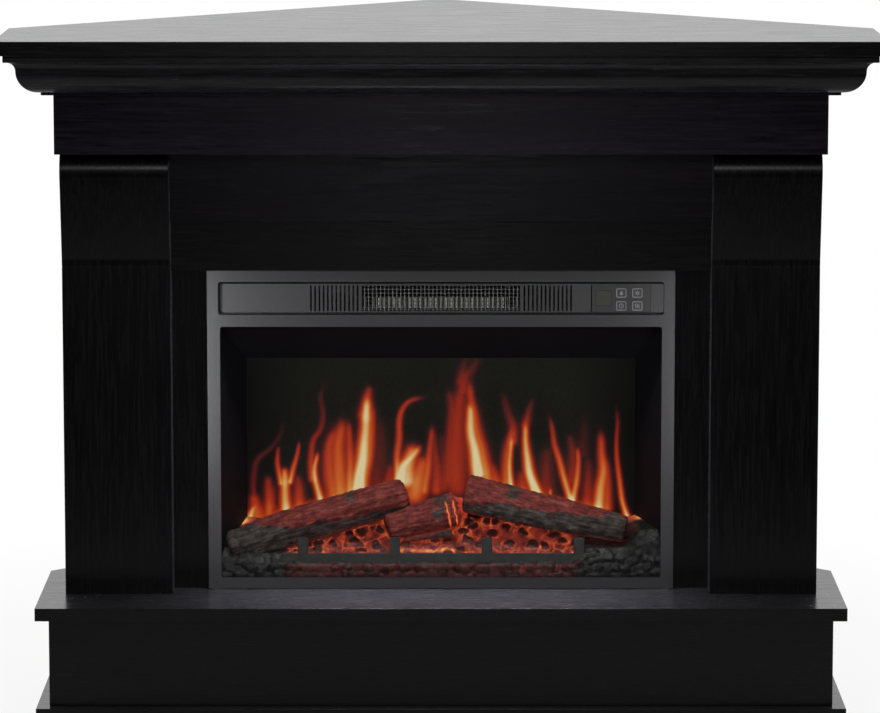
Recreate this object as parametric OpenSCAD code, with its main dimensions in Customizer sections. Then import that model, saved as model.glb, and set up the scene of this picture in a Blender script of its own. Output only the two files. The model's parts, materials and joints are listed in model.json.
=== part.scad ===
// Corner fireplace: a veneered mantel that stands across a room corner, with an electric
// firebox set into its front.
// Millimetres. The origin lies on the floor, on the plane of symmetry, half way between the
// front edge of the top and its rear corner. The front faces -Y and +Z is up.

/* [Top and plan] */
// Width of the top board
top_w = 1230; // [1100:5:1330]
// Length of the top board's side edges, from its front edge to the wall
top_return = 250; // [235:5:320]
// Thickness of the top board
top_t = 20; // [16:1:28]
// Overhang of the top board past the frieze
top_overhang = 77; // [72:1:90]
// Thickness of the panels that the mantel is built from
board_t = 18; // [15:1:20]

/* [Crown and frieze] */
// Height of the square fillet at the top of the crown
crown_fillet_h = 10; // [7:1:14]
// Step between the fillet and the cove
crown_quirk = 3; // [2:0.5:4]
// Radius of the hollow under the fillet
crown_cove_r = 13; // [10:1:15]
// Radius of the round at the foot of the crown
crown_ovolo_r = 32; // [26:1:34]
// Thickness of the thin board under the crown
cornice_t = 4; // [3:0.5:8]
// How far the thin board stands out past the frieze
cornice_lip = 16; // [10:1:18]
// Height of the frieze
frieze_h = 84; // [70:2:110]
// Depth of the board that closes the frieze from below
soffit_d = 200; // [160:5:220]

/* [Columns] */
// Width of the side panels that shows between the columns and the firebox
side_panel_show = 50; // [44:1:70]
// Height of the plain column, from the plinth to the corbel
column_h = 468; // [460:2:500]
// Setback of the column's face behind the frieze
column_setback = 49; // [44:1:60]
// Setback of the column's outer side inside the frieze's end
column_inset = 5; // [3:1:12]
// Depth of the boards that turn back beside the firebox
column_return_d = 90; // [75:5:120]
// Height of the corbel on top of each column
corbel_h = 163; // [150:1:190]
// How far the corbel's nose stands out past the column's face
corbel_proj = 26; // [20:1:32]
// Radius of the corbel's nose
corbel_nose_r = 34; // [28:1:40]
// Height of the nose's centre below the top of the corbel
corbel_nose_drop = 28; // [20:1:30]
// Radius of the hollow at the corbel's foot
corbel_foot_r = 60; // [30:5:80]

/* [Beams and side panels] */
// Height of the upper beam between the corbels
upper_beam_h = 100; // [80:2:110]
// Setback of the upper beam behind the column's face
upper_beam_setback = 12; // [6:1:20]
// Step from the upper beam back to the lower beam
beam_step = 13; // [6:1:17]

/* [Plinth] */
// Thickness of the board on the floor
base_t = 18; // [15:1:25]
// Height of the plinth's upright boards
plinth_h = 125; // [90:5:160]
// Thickness of the plinth's top board
plinth_top_t = 18; // [15:1:25]
// How far the plinth's top stands out in front of the columns
plinth_ledge_front = 108; // [90:1:112]
// How far the plinth's top stands out beside the columns
plinth_ledge_side = 35; // [24:1:38]
// Overhang of the plinth's top and base past its upright boards
plinth_lip = 18; // [8:1:24]
// Side of the square post at the rear corner
post_w = 60; // [45:5:80]

/* [Firebox front] */
// Width of the firebox's front frame
insert_w = 662; // [620:2:740]
// Height of the firebox's front frame
insert_h = 457; // [446:1:458]
// Thickness of the front frame
frame_t = 10; // [8:0.5:12]
// Width of the frame's side bars
frame_side = 18; // [16:1:24]
// Height of the frame's bottom bar
frame_bottom = 17; // [14:1:22]
// Height of the frame's band above the window
frame_head = 80; // [78:1:88]
// Distance from the top of the frame to the strip opening
strip_drop = 16; // [12:0.5:18]
// Height of the strip opening
strip_h = 47; // [45:0.5:50]
// Width of the frame's bars beside the strip
strip_side = 15.5; // [12:0.5:18]
// Radius of the corners of the frame's openings
frame_corner_r = 4; // [2:0.5:8]
// Gap between the frame and the plinth, and between the frame and the lower beam
niche_gap = 1; // [0.5:0.25:3]
// How far the frame laps over the panels beside it
frame_lap = 6; // [4:0.5:8]
// Thickness of the front glass
glass_t = 4; // [3:0.5:6]
// How far the glass reaches behind the frame above the window
glass_lap = 7; // [4:0.5:9]

/* [Vent strip and controls] */
// Setback of the strip's face in the frame
strip_setback = 1.5; // [0.5:0.5:3]
// Clearance around the strip, the control panel and its lens
trim_gap = 0.3; // [0.2:0.05:0.5]
// Gap between the strip's lower edge and the frame
strip_gap = 1.5; // [0.3:0.1:1.6]
// Half width of the heater's window in the strip
vent_half = 112; // [90:1:118]
// Height of the heater's window
vent_h = 38; // [30:1:40]
// Distance from one rib of the strip to the next
rib_pitch = 6; // [5:0.5:8]
// Width of the slot between two ribs
rib_slot = 2.4; // [1.5:0.1:3]
// Number of slots on each side of the heater's window
rib_count = 12; // [6:1:14]
// Thickness of the guard's wires
wire_t = 1; // [0.8:0.1:1.4]
// Distance between the guard's wires
wire_pitch = 5.7; // [5:0.1:9]
// Width of the control panel
panel_w = 83; // [78:1:90]
// Height of the control panel
panel_h = 42; // [40:0.5:43]
// Distance from the control panel to the right end of the strip
panel_end = 19; // [14:1:22]
// Thickness of the control panel's plate
panel_t = 4; // [3:0.5:4.5]
// Width of a button
button_w = 14.9; // [12:0.1:15.5]
// Height of a button
button_h = 13.8; // [11:0.1:14]
// Distance between the two columns of buttons
button_pitch_x = 22.7; // [21:0.1:24]
// Distance between the two rows of buttons
button_pitch_z = 18.4; // [18:0.1:19]
// How far a button moves when it is pressed
button_travel = 0.8; // [0.4:0.1:1]
// Width of the remote control's receiving window
lens_w = 22; // [14:1:22]
// Height of the remote control's receiving window
lens_h = 21; // [14:1:24]

/* [Firebox body] */
// Depth of the firebox behind its frame
insert_d = 200; // [190:5:240]
// Thickness of the sheet steel
sheet_t = 1; // [0.8:0.1:1.5]
// Depth of the fire chamber in front of the flame screen
chamber_d = 92; // [88:1:98]
// How far each side of the fire chamber leans inwards
chamber_taper = 40; // [30:1:50]
// Drop of the fire chamber's sloping ceiling
chamber_drop = 66; // [50:1:80]
// Thickness of the flame screen
screen_t = 3; // [2:0.5:5]
// Height of the heater's duct
duct_h = 61; // [58:1:63]
// Depth of the heater's duct
duct_d = 120; // [100:5:140]
// Radius of the blower wheel
blower_r = 24; // [18:1:26]
// Length of the blower wheel
blower_len = 180; // [140:5:200]
// Number of blades on the blower wheel
blower_blades = 24; // [12:1:30]
// Width of the heating element
element_w = 178; // [140:2:190]
// Height of the heating element
element_h = 15; // [10:1:20]
// Radius to the tips of the flame rotor's flags
rotor_r = 28; // [20:1:32]
// Number of flags on the flame rotor
rotor_flags = 12; // [8:1:14]
// Radius of the shafts of the rotor and the blower
shaft_r = 3; // [2.5:0.25:4]
// Radial clearance of the shafts in their bushes and motors
shaft_fit = 0.05; // [0.03:0.01:0.1]
// Height of the rubber feet under the firebox
foot_h = 9; // [7:0.5:11]
// Radius of the rubber feet
foot_r = 12; // [8:1:16]
// Radius of the cable's way through its gland
gland_bore_r = 4; // [3:0.25:5]
// Outer radius of the gland's barrel
gland_r = 8; // [7:0.5:10]

/* [Fire bed] */
// Height of the fire bed's front skirt
skirt_h = 24; // [20:1:32]
// Rise of the fire bed from front to back
bed_rise = 40; // [30:1:44]
// Length of the grate bar
grate_w = 454; // [380:2:520]
// Height of the grate bar
grate_h = 12; // [8:1:16]
// Thickness of the grate bar
grate_t = 5; // [4:0.5:7]
// Distance between the posts of the grate
grate_pitch = 131.5; // [110:0.5:145]
// Height of the grate's posts above its bar
grate_post_h = 21; // [12:1:28]
// Width of the grate's posts
grate_post_w = 15; // [10:1:20]
// Radius of the coals on the fire bed
coal_r = 9; // [6:1:11]
// Mean radius of the logs
log_r = 20; // [18:0.5:21]

/* [Fixings] */
// Length of each leg of an angle bracket
bracket_leg = 25; // [20:1:30]
// Width of an angle bracket
bracket_w = 15; // [12:1:20]
// Thickness of an angle bracket
bracket_t = 2; // [1.5:0.25:3]
// Radius of the screws' shanks
screw_r = 1.75; // [1.5:0.25:2.25]
// Length of the screws under their heads
screw_len = 13; // [10:1:14]

/* [Hidden] */

round_fn = 48;
arc_steps = 14;
big = 4000;

// Plan of the mantel
depth = top_return + top_w / 2;
front_y = -depth / 2;
apex_y = depth / 2;
frieze_half = top_w / 2 - top_overhang;
frieze_y = front_y + top_overhang;
column_half = frieze_half - column_inset;
column_in = insert_w / 2 + side_panel_show;
column_w = column_half - column_in;
column_y = frieze_y + column_setback;
plinth_half = column_half + plinth_ledge_side;
plinth_y = column_y - plinth_ledge_front;
upper_beam_y = column_y + upper_beam_setback;
lower_beam_y = upper_beam_y + beam_step;
side_panel_y = lower_beam_y + board_t;
frame_y = side_panel_y - frame_t;

// Heights of the mantel
plinth_board_z = base_t + plinth_h;
plinth_z = plinth_board_z + plinth_top_t;
corbel_z = plinth_z + column_h;
frieze_z = corbel_z + corbel_h;
cornice_z = frieze_z + frieze_h;
crown_z = cornice_z + cornice_t;
crown_h = crown_fillet_h + crown_cove_r + crown_ovolo_r;
crown_proj = cornice_lip + crown_ovolo_r + crown_cove_r + crown_quirk;
top_z = crown_z + crown_h;
upper_beam_z = frieze_z - upper_beam_h;
niche_z = plinth_z + 2 * niche_gap + insert_h;
corbel_taper_a = atan(corbel_proj / (corbel_h - corbel_nose_drop));

// Firebox, from its frame inwards
insert_z = plinth_z + niche_gap;
insert_top = insert_z + insert_h;
window_half = insert_w / 2 - frame_side;
window_z = insert_z + frame_bottom;
window_top = insert_top - frame_head;
strip_half = insert_w / 2 - strip_side;
strip_top = insert_top - strip_drop;
strip_z = strip_top - strip_h;
strip_mid = (strip_z + strip_top) / 2;
back_y = frame_y + frame_t;
casing_z = plinth_z + foot_h;
casing_top = insert_top - frame_lap - niche_gap;
casing_half = insert_w / 2 - frame_lap - bracket_t;
casing_in = casing_half - sheet_t;
casing_floor = casing_z + sheet_t;
casing_end = back_y + insert_d;
glass_half = casing_in - niche_gap;
glass_top = window_top + glass_lap;
chamber_y = back_y + glass_t;
screen_y = chamber_y + chamber_d;
screen_half = glass_half - chamber_taper;
screen_top = glass_top - chamber_drop;
screen_lap = 2;
inner_y = screen_y + screen_t;

// Strip: its fascia is flanged behind the frame, and the guard and the duct follow
fascia_y = frame_y + strip_setback;
flange_t = 2;
flange_lap = 3;
guard_y = back_y + flange_t;
guard_lap = 3;
duct_y = guard_y + 2 * wire_t;
duct_margin = 12;
duct_half = vent_half + duct_margin;
duct_in = duct_half - sheet_t;
duct_end = duct_y + duct_d;
duct_top = casing_top - sheet_t;
duct_z = duct_top - duct_h;
duct_slots = 6;
duct_slot_w = 8;
blower_setback = 12;
blower_y = duct_y + duct_d / 2 + blower_setback;
blower_z = duct_z + duct_h / 2;
blower_hub_t = 1.5;
blade_t = 1;
blade_w = 7;
blade_gap = 0.5;
motor_len = 32;
motor_r = 20;
shaft_overrun = 6;
blower_tip = duct_half + shaft_overrun;
element_setback = 3;
element_y = duct_y + element_setback;
element_end = element_y + 14;
element_drop = 1;
element_z = strip_mid - element_h - element_drop;
element_bar = 8;
element_rail = 2;
fin_t = 1.2;

// Controls
panel_x = strip_half - panel_end - panel_w / 2;
panel_proud = 1;
panel_y = fascia_y - panel_proud;
panel_back = panel_y + panel_t;
skirt_t = 1.5;
button_x = panel_x;
button_drop = 1.4;
button_z = strip_mid - button_drop;
button_proud = 0.5;
button_flange = 1.5;
button_flange_t = 1.2;
button_stem_r = 2;
lens_offset = 25;
lens_x = panel_x - lens_offset;
lens_lip = 1;
lens_sunk = 0.2;
circuit_t = 1.6;
relay = [0.17 * panel_w, 16, 0.43 * panel_h];
relay_pitch = 0.29 * panel_w;
switch_h = 2;
switch_w = 6;
switch_y = guard_y - switch_h;
press_gap = 0.1;

// Flame drive
rotor_y = (inner_y + casing_end) / 2;
rotor_rise = 64;
rotor_z = casing_floor + rotor_rise;
rotor_margin = 54;
flag_pitch = 2 * (casing_in - rotor_margin) / rotor_flags;
flag_len = 0.9 * flag_pitch;
flag_turn = 67;
flag_t = 0.8;
flame_motor_len = 20;
flame_motor_r = 25;
bush_len = 20;
bush_r = 8;
shaft_end_gap = 0.5;
shaft_in_motor = 10;

// Fire bed: its section runs from the skirt at the glass up to the flame screen
bed_inset = 3;
bed_y = chamber_y + bed_inset;
bed_gap = 1;
bed_end = screen_y - bed_gap / 2;
skirt_lean = 2;
grate_z = casing_floor + skirt_h;
grate_inset = 5;
grate_y = bed_y + grate_inset;
bed_lip = 8;
bed_front_z = grate_z + bed_lip;
bed_back_z = bed_front_z + bed_rise;
bed_h = bed_back_z - casing_floor;
bed_wall = 14;
log_fit = 0.2;
feet_inset = 52;
feet_y = [back_y + feet_inset / 2, casing_end - feet_inset / 2];
gland_inset = 53;
gland_rise = 32;
gland_in = 6;
gland_len = 23;

// Each log: its two ends as shares of the chamber's half width, its depth and the bed's height,
// then the radius at each end as a share of the mean radius
log_left_line = [[-1, 0.37, 0.625], [-0.22, 0.62, 1.64], 0.85, 1.175];
log_centre_line = [[-0.26, 0.32, 1.01], [0.06, 0.5, 1.32], 1, 1.22];
log_right_line = [[0.139, 0.53, 1.585], [0.95, 0.315, 0.96], 1.35, 0.925];
// Mounds of coals that carry the logs: x and y as shares of the same lengths, then the height
// above the bed, the radius at the foot and the radius at the top as shares of a log's radius
mounds = [[-0.93, 0.37, 1.2, 1.15, 0.7], [0.93, 0.35, 1.5, 1.1, 0.8], [0.185, 0.72, 1.5, 1, 0.7],
  [-0.107, 0.67, 1.3, 0.95, 0.7]];
mound_back = 8;
mound_sunk = 4;

// Brackets stand in pairs: column returns and outer sides, at the plinth and under the soffit
bracket_hole_at = 0.6 * bracket_leg;
bracket_y = side_panel_y + board_t + bracket_w / 2 + bracket_t;
bracket_pitch = 50;
side_bracket_y = bracket_y + bracket_pitch;
casing_bracket_z = [0.13 * insert_h, 0.87 * insert_h];
screw_fit = 0.05;
head_r = 3.9;
head_h = 2;
casing_screw_len = 6;

veneer = [0.09, 0.08, 0.1];
steel_grey = [0.36, 0.36, 0.38];
black_plastic = [0.12, 0.12, 0.13];
zinc = [0.62, 0.63, 0.64];

function wall_y(x) = apex_y - abs(x);
function arc(c, r, a0, a1) =
  [for (i = [0:arc_steps]) let (a = a0 + (a1 - a0) * i / arc_steps) c + r * [cos(a), sin(a)]];
function mix(a, b, t) = a + (b - a) * t;
function chamber_half(y) = mix(glass_half, screen_half, (y - chamber_y) / chamber_d);
function bed_z(y) = mix(bed_front_z, bed_back_z, (y - bed_y) / (bed_end - bed_y));

// A block between two corners
module block(low, high) {
  translate(low) cube(high - low);
}

// Keeps what lies inside the room corner
module in_corner() {
  intersection() {
    children();
    translate([0, 0, -1]) linear_extrude(big / 2)
      polygon([[-big / 4, front_y - 1], [big / 4, front_y - 1], [big / 4, wall_y(big / 4)],
        [0, apex_y], [-big / 4, wall_y(big / 4)]]);
  }
}

// A full board of the five-sided plan
module corner_board(half, y, z, t) {
  translate([0, 0, z]) linear_extrude(t)
    polygon([[-half, y], [half, y], [half, wall_y(half)], [0, apex_y], [-half, wall_y(half)]]);
}

// A pair of boards on edge along the two walls, from the rear corner out to a half width
module wall_boards(half, z, h) {
  gap = 0.5;
  inner_y = apex_y - board_t * sqrt(2);
  for (s = [-1, 1])
    translate([0, 0, z]) linear_extrude(h)
      polygon([[s * half, wall_y(half)], [s * gap, apex_y - gap], [s * gap, inner_y - gap],
        [s * half, inner_y - half]]);
}

module rounded_window(half, z0, z1, r) {
  translate([0, back_y + 1, 0]) rotate([90, 0, 0]) linear_extrude(frame_t + 2) {
    translate([-half + r, z0]) square([2 * (half - r), z1 - z0]);
    translate([-half, z0 + r]) square([2 * half, z1 - z0 - 2 * r]);
    for (x = [-half + r, half - r], z = [z0 + r, z1 - r])
      translate([x, z]) circle(r, $fn = round_fn);
  }
}

// A shaft or bore along X between two places
module rod_x(x0, x1, y, z, r) {
  translate([x0, y, z]) rotate([0, 90, 0]) cylinder(h = x1 - x0, r = r, $fn = round_fn);
}

// ---- Fixings ----

// One bracket has its corner at the origin and its legs along +X and +Z
module bracket_shape() {
  difference() {
    union() {
      block([0, -bracket_w / 2, 0], [bracket_leg, bracket_w / 2, bracket_t]);
      block([0, -bracket_w / 2, 0], [bracket_t, bracket_w / 2, bracket_leg]);
    }
    screw_pair(screw_len, screw_len, screw_fit);
  }
}

// The screws of one bracket: the first goes down through the leg along X, the second sideways
module screw_pair(len_a, len_b, grow) {
  for (side = [[0, len_a], [1, len_b]])
    mirror(side[0] * [1, 0, -1]) translate([bracket_hole_at, 0, bracket_t]) {
      translate([0, 0, -side[1] - grow])
        cylinder(h = side[1] + grow, r = screw_r + grow, $fn = round_fn);
      cylinder(h = head_h, r1 = head_r, r2 = head_r * 0.7, $fn = round_fn);
    }
}

// Puts one bracket's worth of parts at every place where the mantel has a bracket
module at_joints() {
  for (s = [0, 1]) mirror([s, 0, 0]) {
    for (spot = [[column_in, bracket_y], [column_half - board_t, side_bracket_y]]) {
      translate([spot[0], spot[1], plinth_z]) mirror([1, 0, 0]) children();
      translate([spot[0], spot[1], frieze_z]) mirror([1, 0, 0]) mirror([0, 0, 1]) children();
    }
  }
}

// The same beside the firebox, where one leg lies on a side panel and one on the casing
module at_casing() {
  for (s = [0, 1], z = casing_bracket_z) mirror([s, 0, 0])
    translate([casing_half, side_panel_y + board_t, insert_z + z])
      rotate([-90, 0, 0]) children();
}

module all_screws(grow = 0) {
  at_joints() screw_pair(screw_len, screw_len, grow);
  at_casing() screw_pair(screw_len, casing_screw_len, grow);
}

// A board with its screw holes
module drilled() {
  difference() {
    children();
    all_screws(screw_fit);
  }
}

module angle_brackets() {
  color(zinc) {
    at_joints() bracket_shape();
    at_casing() bracket_shape();
  }
}

module screws() {
  color(zinc) all_screws();
}

// ---- Top, crown and frieze ----

module top_slab() {
  color(veneer) corner_board(top_w / 2, front_y, top_z, top_t);
}

// The crown's section, with the frieze's face at x = 0 and the foot at y = 0
module crown_section() {
  foot = [cornice_lip, crown_ovolo_r];
  cove = [cornice_lip + crown_ovolo_r + crown_cove_r, crown_ovolo_r];
  polygon(concat([[0, 0]], arc(foot, crown_ovolo_r, -90, 0), arc(cove, crown_cove_r, 180, 90),
    [[crown_proj, crown_ovolo_r + crown_cove_r], [crown_proj, crown_h], [0, crown_h]]));
}

module crown_front() {
  half = frieze_half;
  outer = half + crown_proj + 1;
  end_y = frieze_y - crown_proj - 1;
  color(veneer) intersection() {
    translate([-outer, frieze_y, crown_z]) rotate([90, 0, 90])
      linear_extrude(2 * outer) mirror([1, 0]) crown_section();
    translate([0, 0, crown_z - 1]) linear_extrude(crown_h + 2)
      polygon([[-half, frieze_y], [half, frieze_y], [outer, end_y], [-outer, end_y]]);
  }
}

// The side run meets the front one in a mitre at 45 degrees
module crown_right() {
  run = wall_y(frieze_half) - frieze_y;
  outer = crown_proj + 1;
  color(veneer) in_corner() intersection() {
    translate([frieze_half, frieze_y + run, crown_z]) rotate([90, 0, 0])
      linear_extrude(run + outer) crown_section();
    translate([frieze_half, frieze_y, crown_z - 1]) linear_extrude(crown_h + 2)
      polygon([[0, 0], [outer, -outer], [outer, run], [0, run]]);
  }
}

module crown_left() {
  mirror([1, 0, 0]) crown_right();
}

module rear_rails() {
  color(veneer) wall_boards(frieze_half, crown_z, crown_h);
}

module cornice_board() {
  color(veneer) corner_board(frieze_half + cornice_lip, frieze_y - cornice_lip, cornice_z, cornice_t);
}

module frieze_front() {
  color(veneer) block([-frieze_half, frieze_y, frieze_z], [frieze_half, frieze_y + board_t, cornice_z]);
}

module frieze_right() {
  color(veneer) in_corner()
    block([frieze_half - board_t, frieze_y + board_t, frieze_z], [frieze_half, apex_y, cornice_z]);
}

module frieze_left() {
  mirror([1, 0, 0]) frieze_right();
}

module header_soffit() {
  half = frieze_half - board_t;
  y = frieze_y + board_t;
  color(veneer) drilled() block([-half, y, frieze_z], [half, y + soffit_d, frieze_z + board_t]);
}

// ---- Beams, columns and side panels ----

module upper_beam() {
  color(veneer)
    block([-column_in, upper_beam_y, upper_beam_z], [column_in, upper_beam_y + board_t, frieze_z]);
}

module lower_beam() {
  color(veneer)
    block([-column_in, lower_beam_y, niche_z], [column_in, lower_beam_y + board_t, upper_beam_z]);
}

// The corbel's section, with the column's face at x = 0 and its foot at y = 0
module corbel_section() {
  nose = [corbel_proj - corbel_nose_r, corbel_h - corbel_nose_drop];
  top_a = asin(corbel_nose_drop / corbel_nose_r);
  foot = [corbel_foot_r, 0];
  polygon(concat([[-board_t, 0]], arc(foot, corbel_foot_r, 180, 180 - corbel_taper_a),
    arc(nose, corbel_nose_r, -corbel_taper_a, top_a), [[-board_t, corbel_h]]));
}

module right_corbel() {
  color(veneer) translate([column_in, column_y, corbel_z]) rotate([90, 0, 90])
    linear_extrude(column_w) mirror([1, 0]) corbel_section();
}

module left_corbel() {
  mirror([1, 0, 0]) right_corbel();
}

module right_column_front() {
  color(veneer) block([column_in, column_y, plinth_z], [column_half, column_y + board_t, corbel_z]);
}

module left_column_front() {
  mirror([1, 0, 0]) right_column_front();
}

module right_column_side() {
  color(veneer) drilled() in_corner()
    block([column_half - board_t, column_y + board_t, plinth_z], [column_half, apex_y, frieze_z]);
}

module left_column_side() {
  mirror([1, 0, 0]) right_column_side();
}

module column_returns() {
  y = column_y + board_t;
  color(veneer) drilled() for (s = [0, 1]) mirror([s, 0, 0])
    block([column_in, y, plinth_z], [column_in + board_t, y + column_return_d, frieze_z]);
}

module right_side_panel() {
  edge = casing_half + bracket_t;
  color(veneer) drilled()
    block([edge, side_panel_y, plinth_z], [column_in, side_panel_y + board_t, frieze_z]);
}

module left_side_panel() {
  mirror([1, 0, 0]) right_side_panel();
}

// ---- Plinth ----

module plinth_top_board() {
  color(veneer) drilled() corner_board(plinth_half, plinth_y, plinth_board_z, plinth_top_t);
}

module plinth_base_board() {
  color(veneer) corner_board(plinth_half, plinth_y, 0, base_t);
}

module plinth_front() {
  half = plinth_half - plinth_lip;
  y = plinth_y + plinth_lip;
  color(veneer) block([-half, y, base_t], [half, y + board_t, plinth_board_z]);
}

module plinth_right() {
  half = plinth_half - plinth_lip;
  color(veneer) in_corner()
    block([half - board_t, plinth_y + plinth_lip + board_t, base_t], [half, apex_y, plinth_board_z]);
}

module plinth_left() {
  mirror([1, 0, 0]) plinth_right();
}

module plinth_rear_boards() {
  color(veneer) wall_boards(plinth_half - plinth_lip - board_t, base_t, plinth_h);
}

module corner_post() {
  color(veneer) translate([0, apex_y, plinth_z]) rotate(-135)
    cube([post_w, post_w, cornice_z - plinth_z]);
}

// ---- Firebox front ----

module insert_frame() {
  color(steel_grey) difference() {
    block([-insert_w / 2, frame_y, insert_z], [insert_w / 2, back_y, insert_top]);
    rounded_window(window_half, window_z, window_top, frame_corner_r);
    rounded_window(strip_half, strip_z, strip_top, frame_corner_r);
  }
}

module front_glass() {
  color([0.1, 0.1, 0.12, 0.35])
    block([-glass_half, back_y, casing_floor], [glass_half, chamber_y, glass_top]);
}

module vent_fascia() {
  half = strip_half - trim_gap;
  low = strip_z + strip_gap;
  high = strip_top - trim_gap;
  vent_low = strip_mid - vent_h / 2;
  vent_high = strip_mid + vent_h / 2;
  panel_cut = [panel_w / 2 + trim_gap, panel_h / 2 + trim_gap];
  cut_y = fascia_y - 1;
  cut_end = guard_y + 1;
  color(black_plastic) difference() {
    union() {
      intersection() {
        rounded_window(half, low, high, frame_corner_r - trim_gap);
        block([-half, fascia_y, low], [half, back_y, high]);
      }
      block([-strip_half - flange_lap, back_y, strip_z - flange_lap],
        [strip_half + flange_lap, guard_y, strip_top + flange_lap]);
    }
    block([-vent_half, cut_y, vent_low], [vent_half, cut_end, vent_high]);
    for (s = [-1, 1], i = [1:rib_count]) {
      x = s * (vent_half + i * rib_pitch);
      block([x - rib_slot / 2, cut_y, vent_low], [x + rib_slot / 2, cut_end, vent_high]);
    }
    block([panel_x - panel_cut[0], cut_y, strip_mid - panel_cut[1]],
      [panel_x + panel_cut[0], cut_end, strip_mid + panel_cut[1]]);
  }
}

// Upright wires in front, level wires behind them, touching where they cross
module vent_guard() {
  half = vent_half + guard_lap;
  half_h = vent_h / 2 + guard_lap;
  columns = floor(vent_half / wire_pitch);
  rows = floor(vent_h / 2 / wire_pitch);
  color(black_plastic) {
    for (i = [-columns:columns])
      block([i * wire_pitch - wire_t / 2, guard_y, strip_mid - half_h],
        [i * wire_pitch + wire_t / 2, guard_y + wire_t, strip_mid + half_h]);
    for (i = [-rows:rows])
      block([-half, guard_y + wire_t, strip_mid + i * wire_pitch - wire_t / 2],
        [half, guard_y + 2 * wire_t, strip_mid + i * wire_pitch + wire_t / 2]);
  }
}

module control_panel() {
  half = panel_w / 2;
  half_h = panel_h / 2;
  color(black_plastic) difference() {
    block([panel_x - half, panel_y, strip_mid - half_h], [panel_x + half, guard_y, strip_mid + half_h]);
    block([panel_x - half + skirt_t, panel_back, strip_mid - half_h + skirt_t],
      [panel_x + half - skirt_t, guard_y + 1, strip_mid + half_h - skirt_t]);
    for (x = [0, 1], z = [-0.5, 0.5])
      at_button(x, z)
        button_block(button_w + 2 * trim_gap, button_h + 2 * trim_gap, -panel_proud, panel_t + 1);
    translate([lens_x - lens_w / 2 - trim_gap, panel_y - 1, strip_mid - lens_h / 2 - trim_gap])
      cube([lens_w + 2 * trim_gap, panel_t + 2, lens_h + 2 * trim_gap]);
  }
}

module receiver_window() {
  half = lens_w / 2;
  half_h = lens_h / 2;
  end_y = panel_back + lens_lip;
  color([0.25, 0.28, 0.24]) translate([lens_x, 0, strip_mid]) {
    block([-half, panel_y + lens_sunk, -half_h], [half, end_y, half_h]);
    block([-half - lens_lip, panel_back, -half_h - lens_lip], [half + lens_lip, end_y, half_h + lens_lip]);
  }
}

module at_button(x, z) {
  translate([button_x + x * button_pitch_x, panel_y, button_z + z * button_pitch_z]) children();
}

// A block centred on a button, from y0 to y1 behind the panel's face
module button_block(w, h, y0, y1) {
  block([-w / 2, y0, -h / 2], [w / 2, y1, h / 2]);
}

// A cap, a flange that keeps it in, and a stem that ends just in front of its switch
module button_shape() {
  flange_y = panel_t + trim_gap;
  flange_end = flange_y + button_flange_t;
  stem_end = switch_y - panel_y - button_travel - press_gap;
  color([0.2, 0.2, 0.21]) {
    button_block(button_w, button_h, -button_proud, flange_end);
    button_block(button_w + 2 * button_flange, button_h + 2 * button_flange, flange_y, flange_end);
    translate([0, flange_y, 0]) rotate([-90, 0, 0])
      cylinder(h = stem_end - flange_y, r = button_stem_r, $fn = round_fn);
  }
}

module flame_button() {
  at_button(0, 0.5) button_shape();
}

module dimmer_button() {
  at_button(1, 0.5) button_shape();
}

module timer_button() {
  at_button(0, -0.5) button_shape();
}

module heat_button() {
  at_button(1, -0.5) button_shape();
}

module control_board() {
  half = panel_w / 2;
  half_h = panel_h / 2;
  board_end = guard_y + circuit_t;
  color([0.1, 0.35, 0.2]) {
    block([panel_x - half, guard_y, strip_mid - half_h], [panel_x + half, board_end, strip_mid + half_h]);
    for (x = [0, 1], z = [-0.5, 0.5])
      at_button(x, z) translate([0, switch_y - panel_y, 0])
        block([-switch_w / 2, 0, -switch_w / 2], [switch_w / 2, switch_h, switch_w / 2]);
    for (i = [-1:1])
      translate([panel_x + i * relay_pitch - relay[0] / 2, board_end, strip_mid - relay[2] / 2]) cube(relay);
  }
}

// ---- Heater ----

module heater_duct() {
  slot_gap = 2 * duct_slot_w;
  low = duct_z + duct_margin;
  color(zinc) difference() {
    union() {
      block([-duct_half, duct_y, duct_z], [duct_half, duct_end, duct_top]);
      rod_x(duct_half, duct_half + bush_len / 2, blower_y, blower_z, bush_r);
    }
    block([-duct_in, duct_y - 1, duct_z + sheet_t], [duct_in, duct_end - sheet_t, duct_top - sheet_t]);
    rod_x(-duct_half - 1, duct_half + bush_len, blower_y, blower_z, shaft_r + shaft_fit);
    for (i = [-duct_slots:duct_slots])
      translate([i * slot_gap - duct_slot_w / 2, duct_end - 2 * sheet_t, low])
        cube([duct_slot_w, 3 * sheet_t, duct_top - duct_margin - low]);
  }
}

module heating_element() {
  half = element_w / 2;
  fins = floor(half / wire_pitch) - 1;
  top = element_z + element_h;
  bar_y = element_y + element_setback;
  color([0.75, 0.73, 0.68]) {
    for (z = [element_z, top - element_rail])
      block([-half, bar_y, z], [half, element_end, z + element_rail]);
    for (i = [-fins:fins])
      translate([i * wire_pitch - fin_t / 2, 0, 0])
        block([0, element_y, element_z], [fin_t, element_end, top]);
    for (s = [0, 1]) mirror([s, 0, 0])
      block([half, bar_y, element_z], [duct_in, bar_y + element_bar, top]);
  }
}

module blower_wheel() {
  half = blower_len / 2;
  color([0.2, 0.2, 0.22]) {
    for (x = [-half, half - blower_hub_t]) rod_x(x, x + blower_hub_t, blower_y, blower_z, blower_r);
    rod_x(-duct_half - shaft_in_motor, blower_tip, blower_y, blower_z, shaft_r);
    for (i = [0:blower_blades - 1])
      translate([-half, blower_y, blower_z]) rotate([i * 360 / blower_blades, 0, 0])
        translate([0, -blade_t / 2, blower_r - blade_w - blade_gap]) cube([blower_len, blade_t, blade_w]);
  }
}

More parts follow.
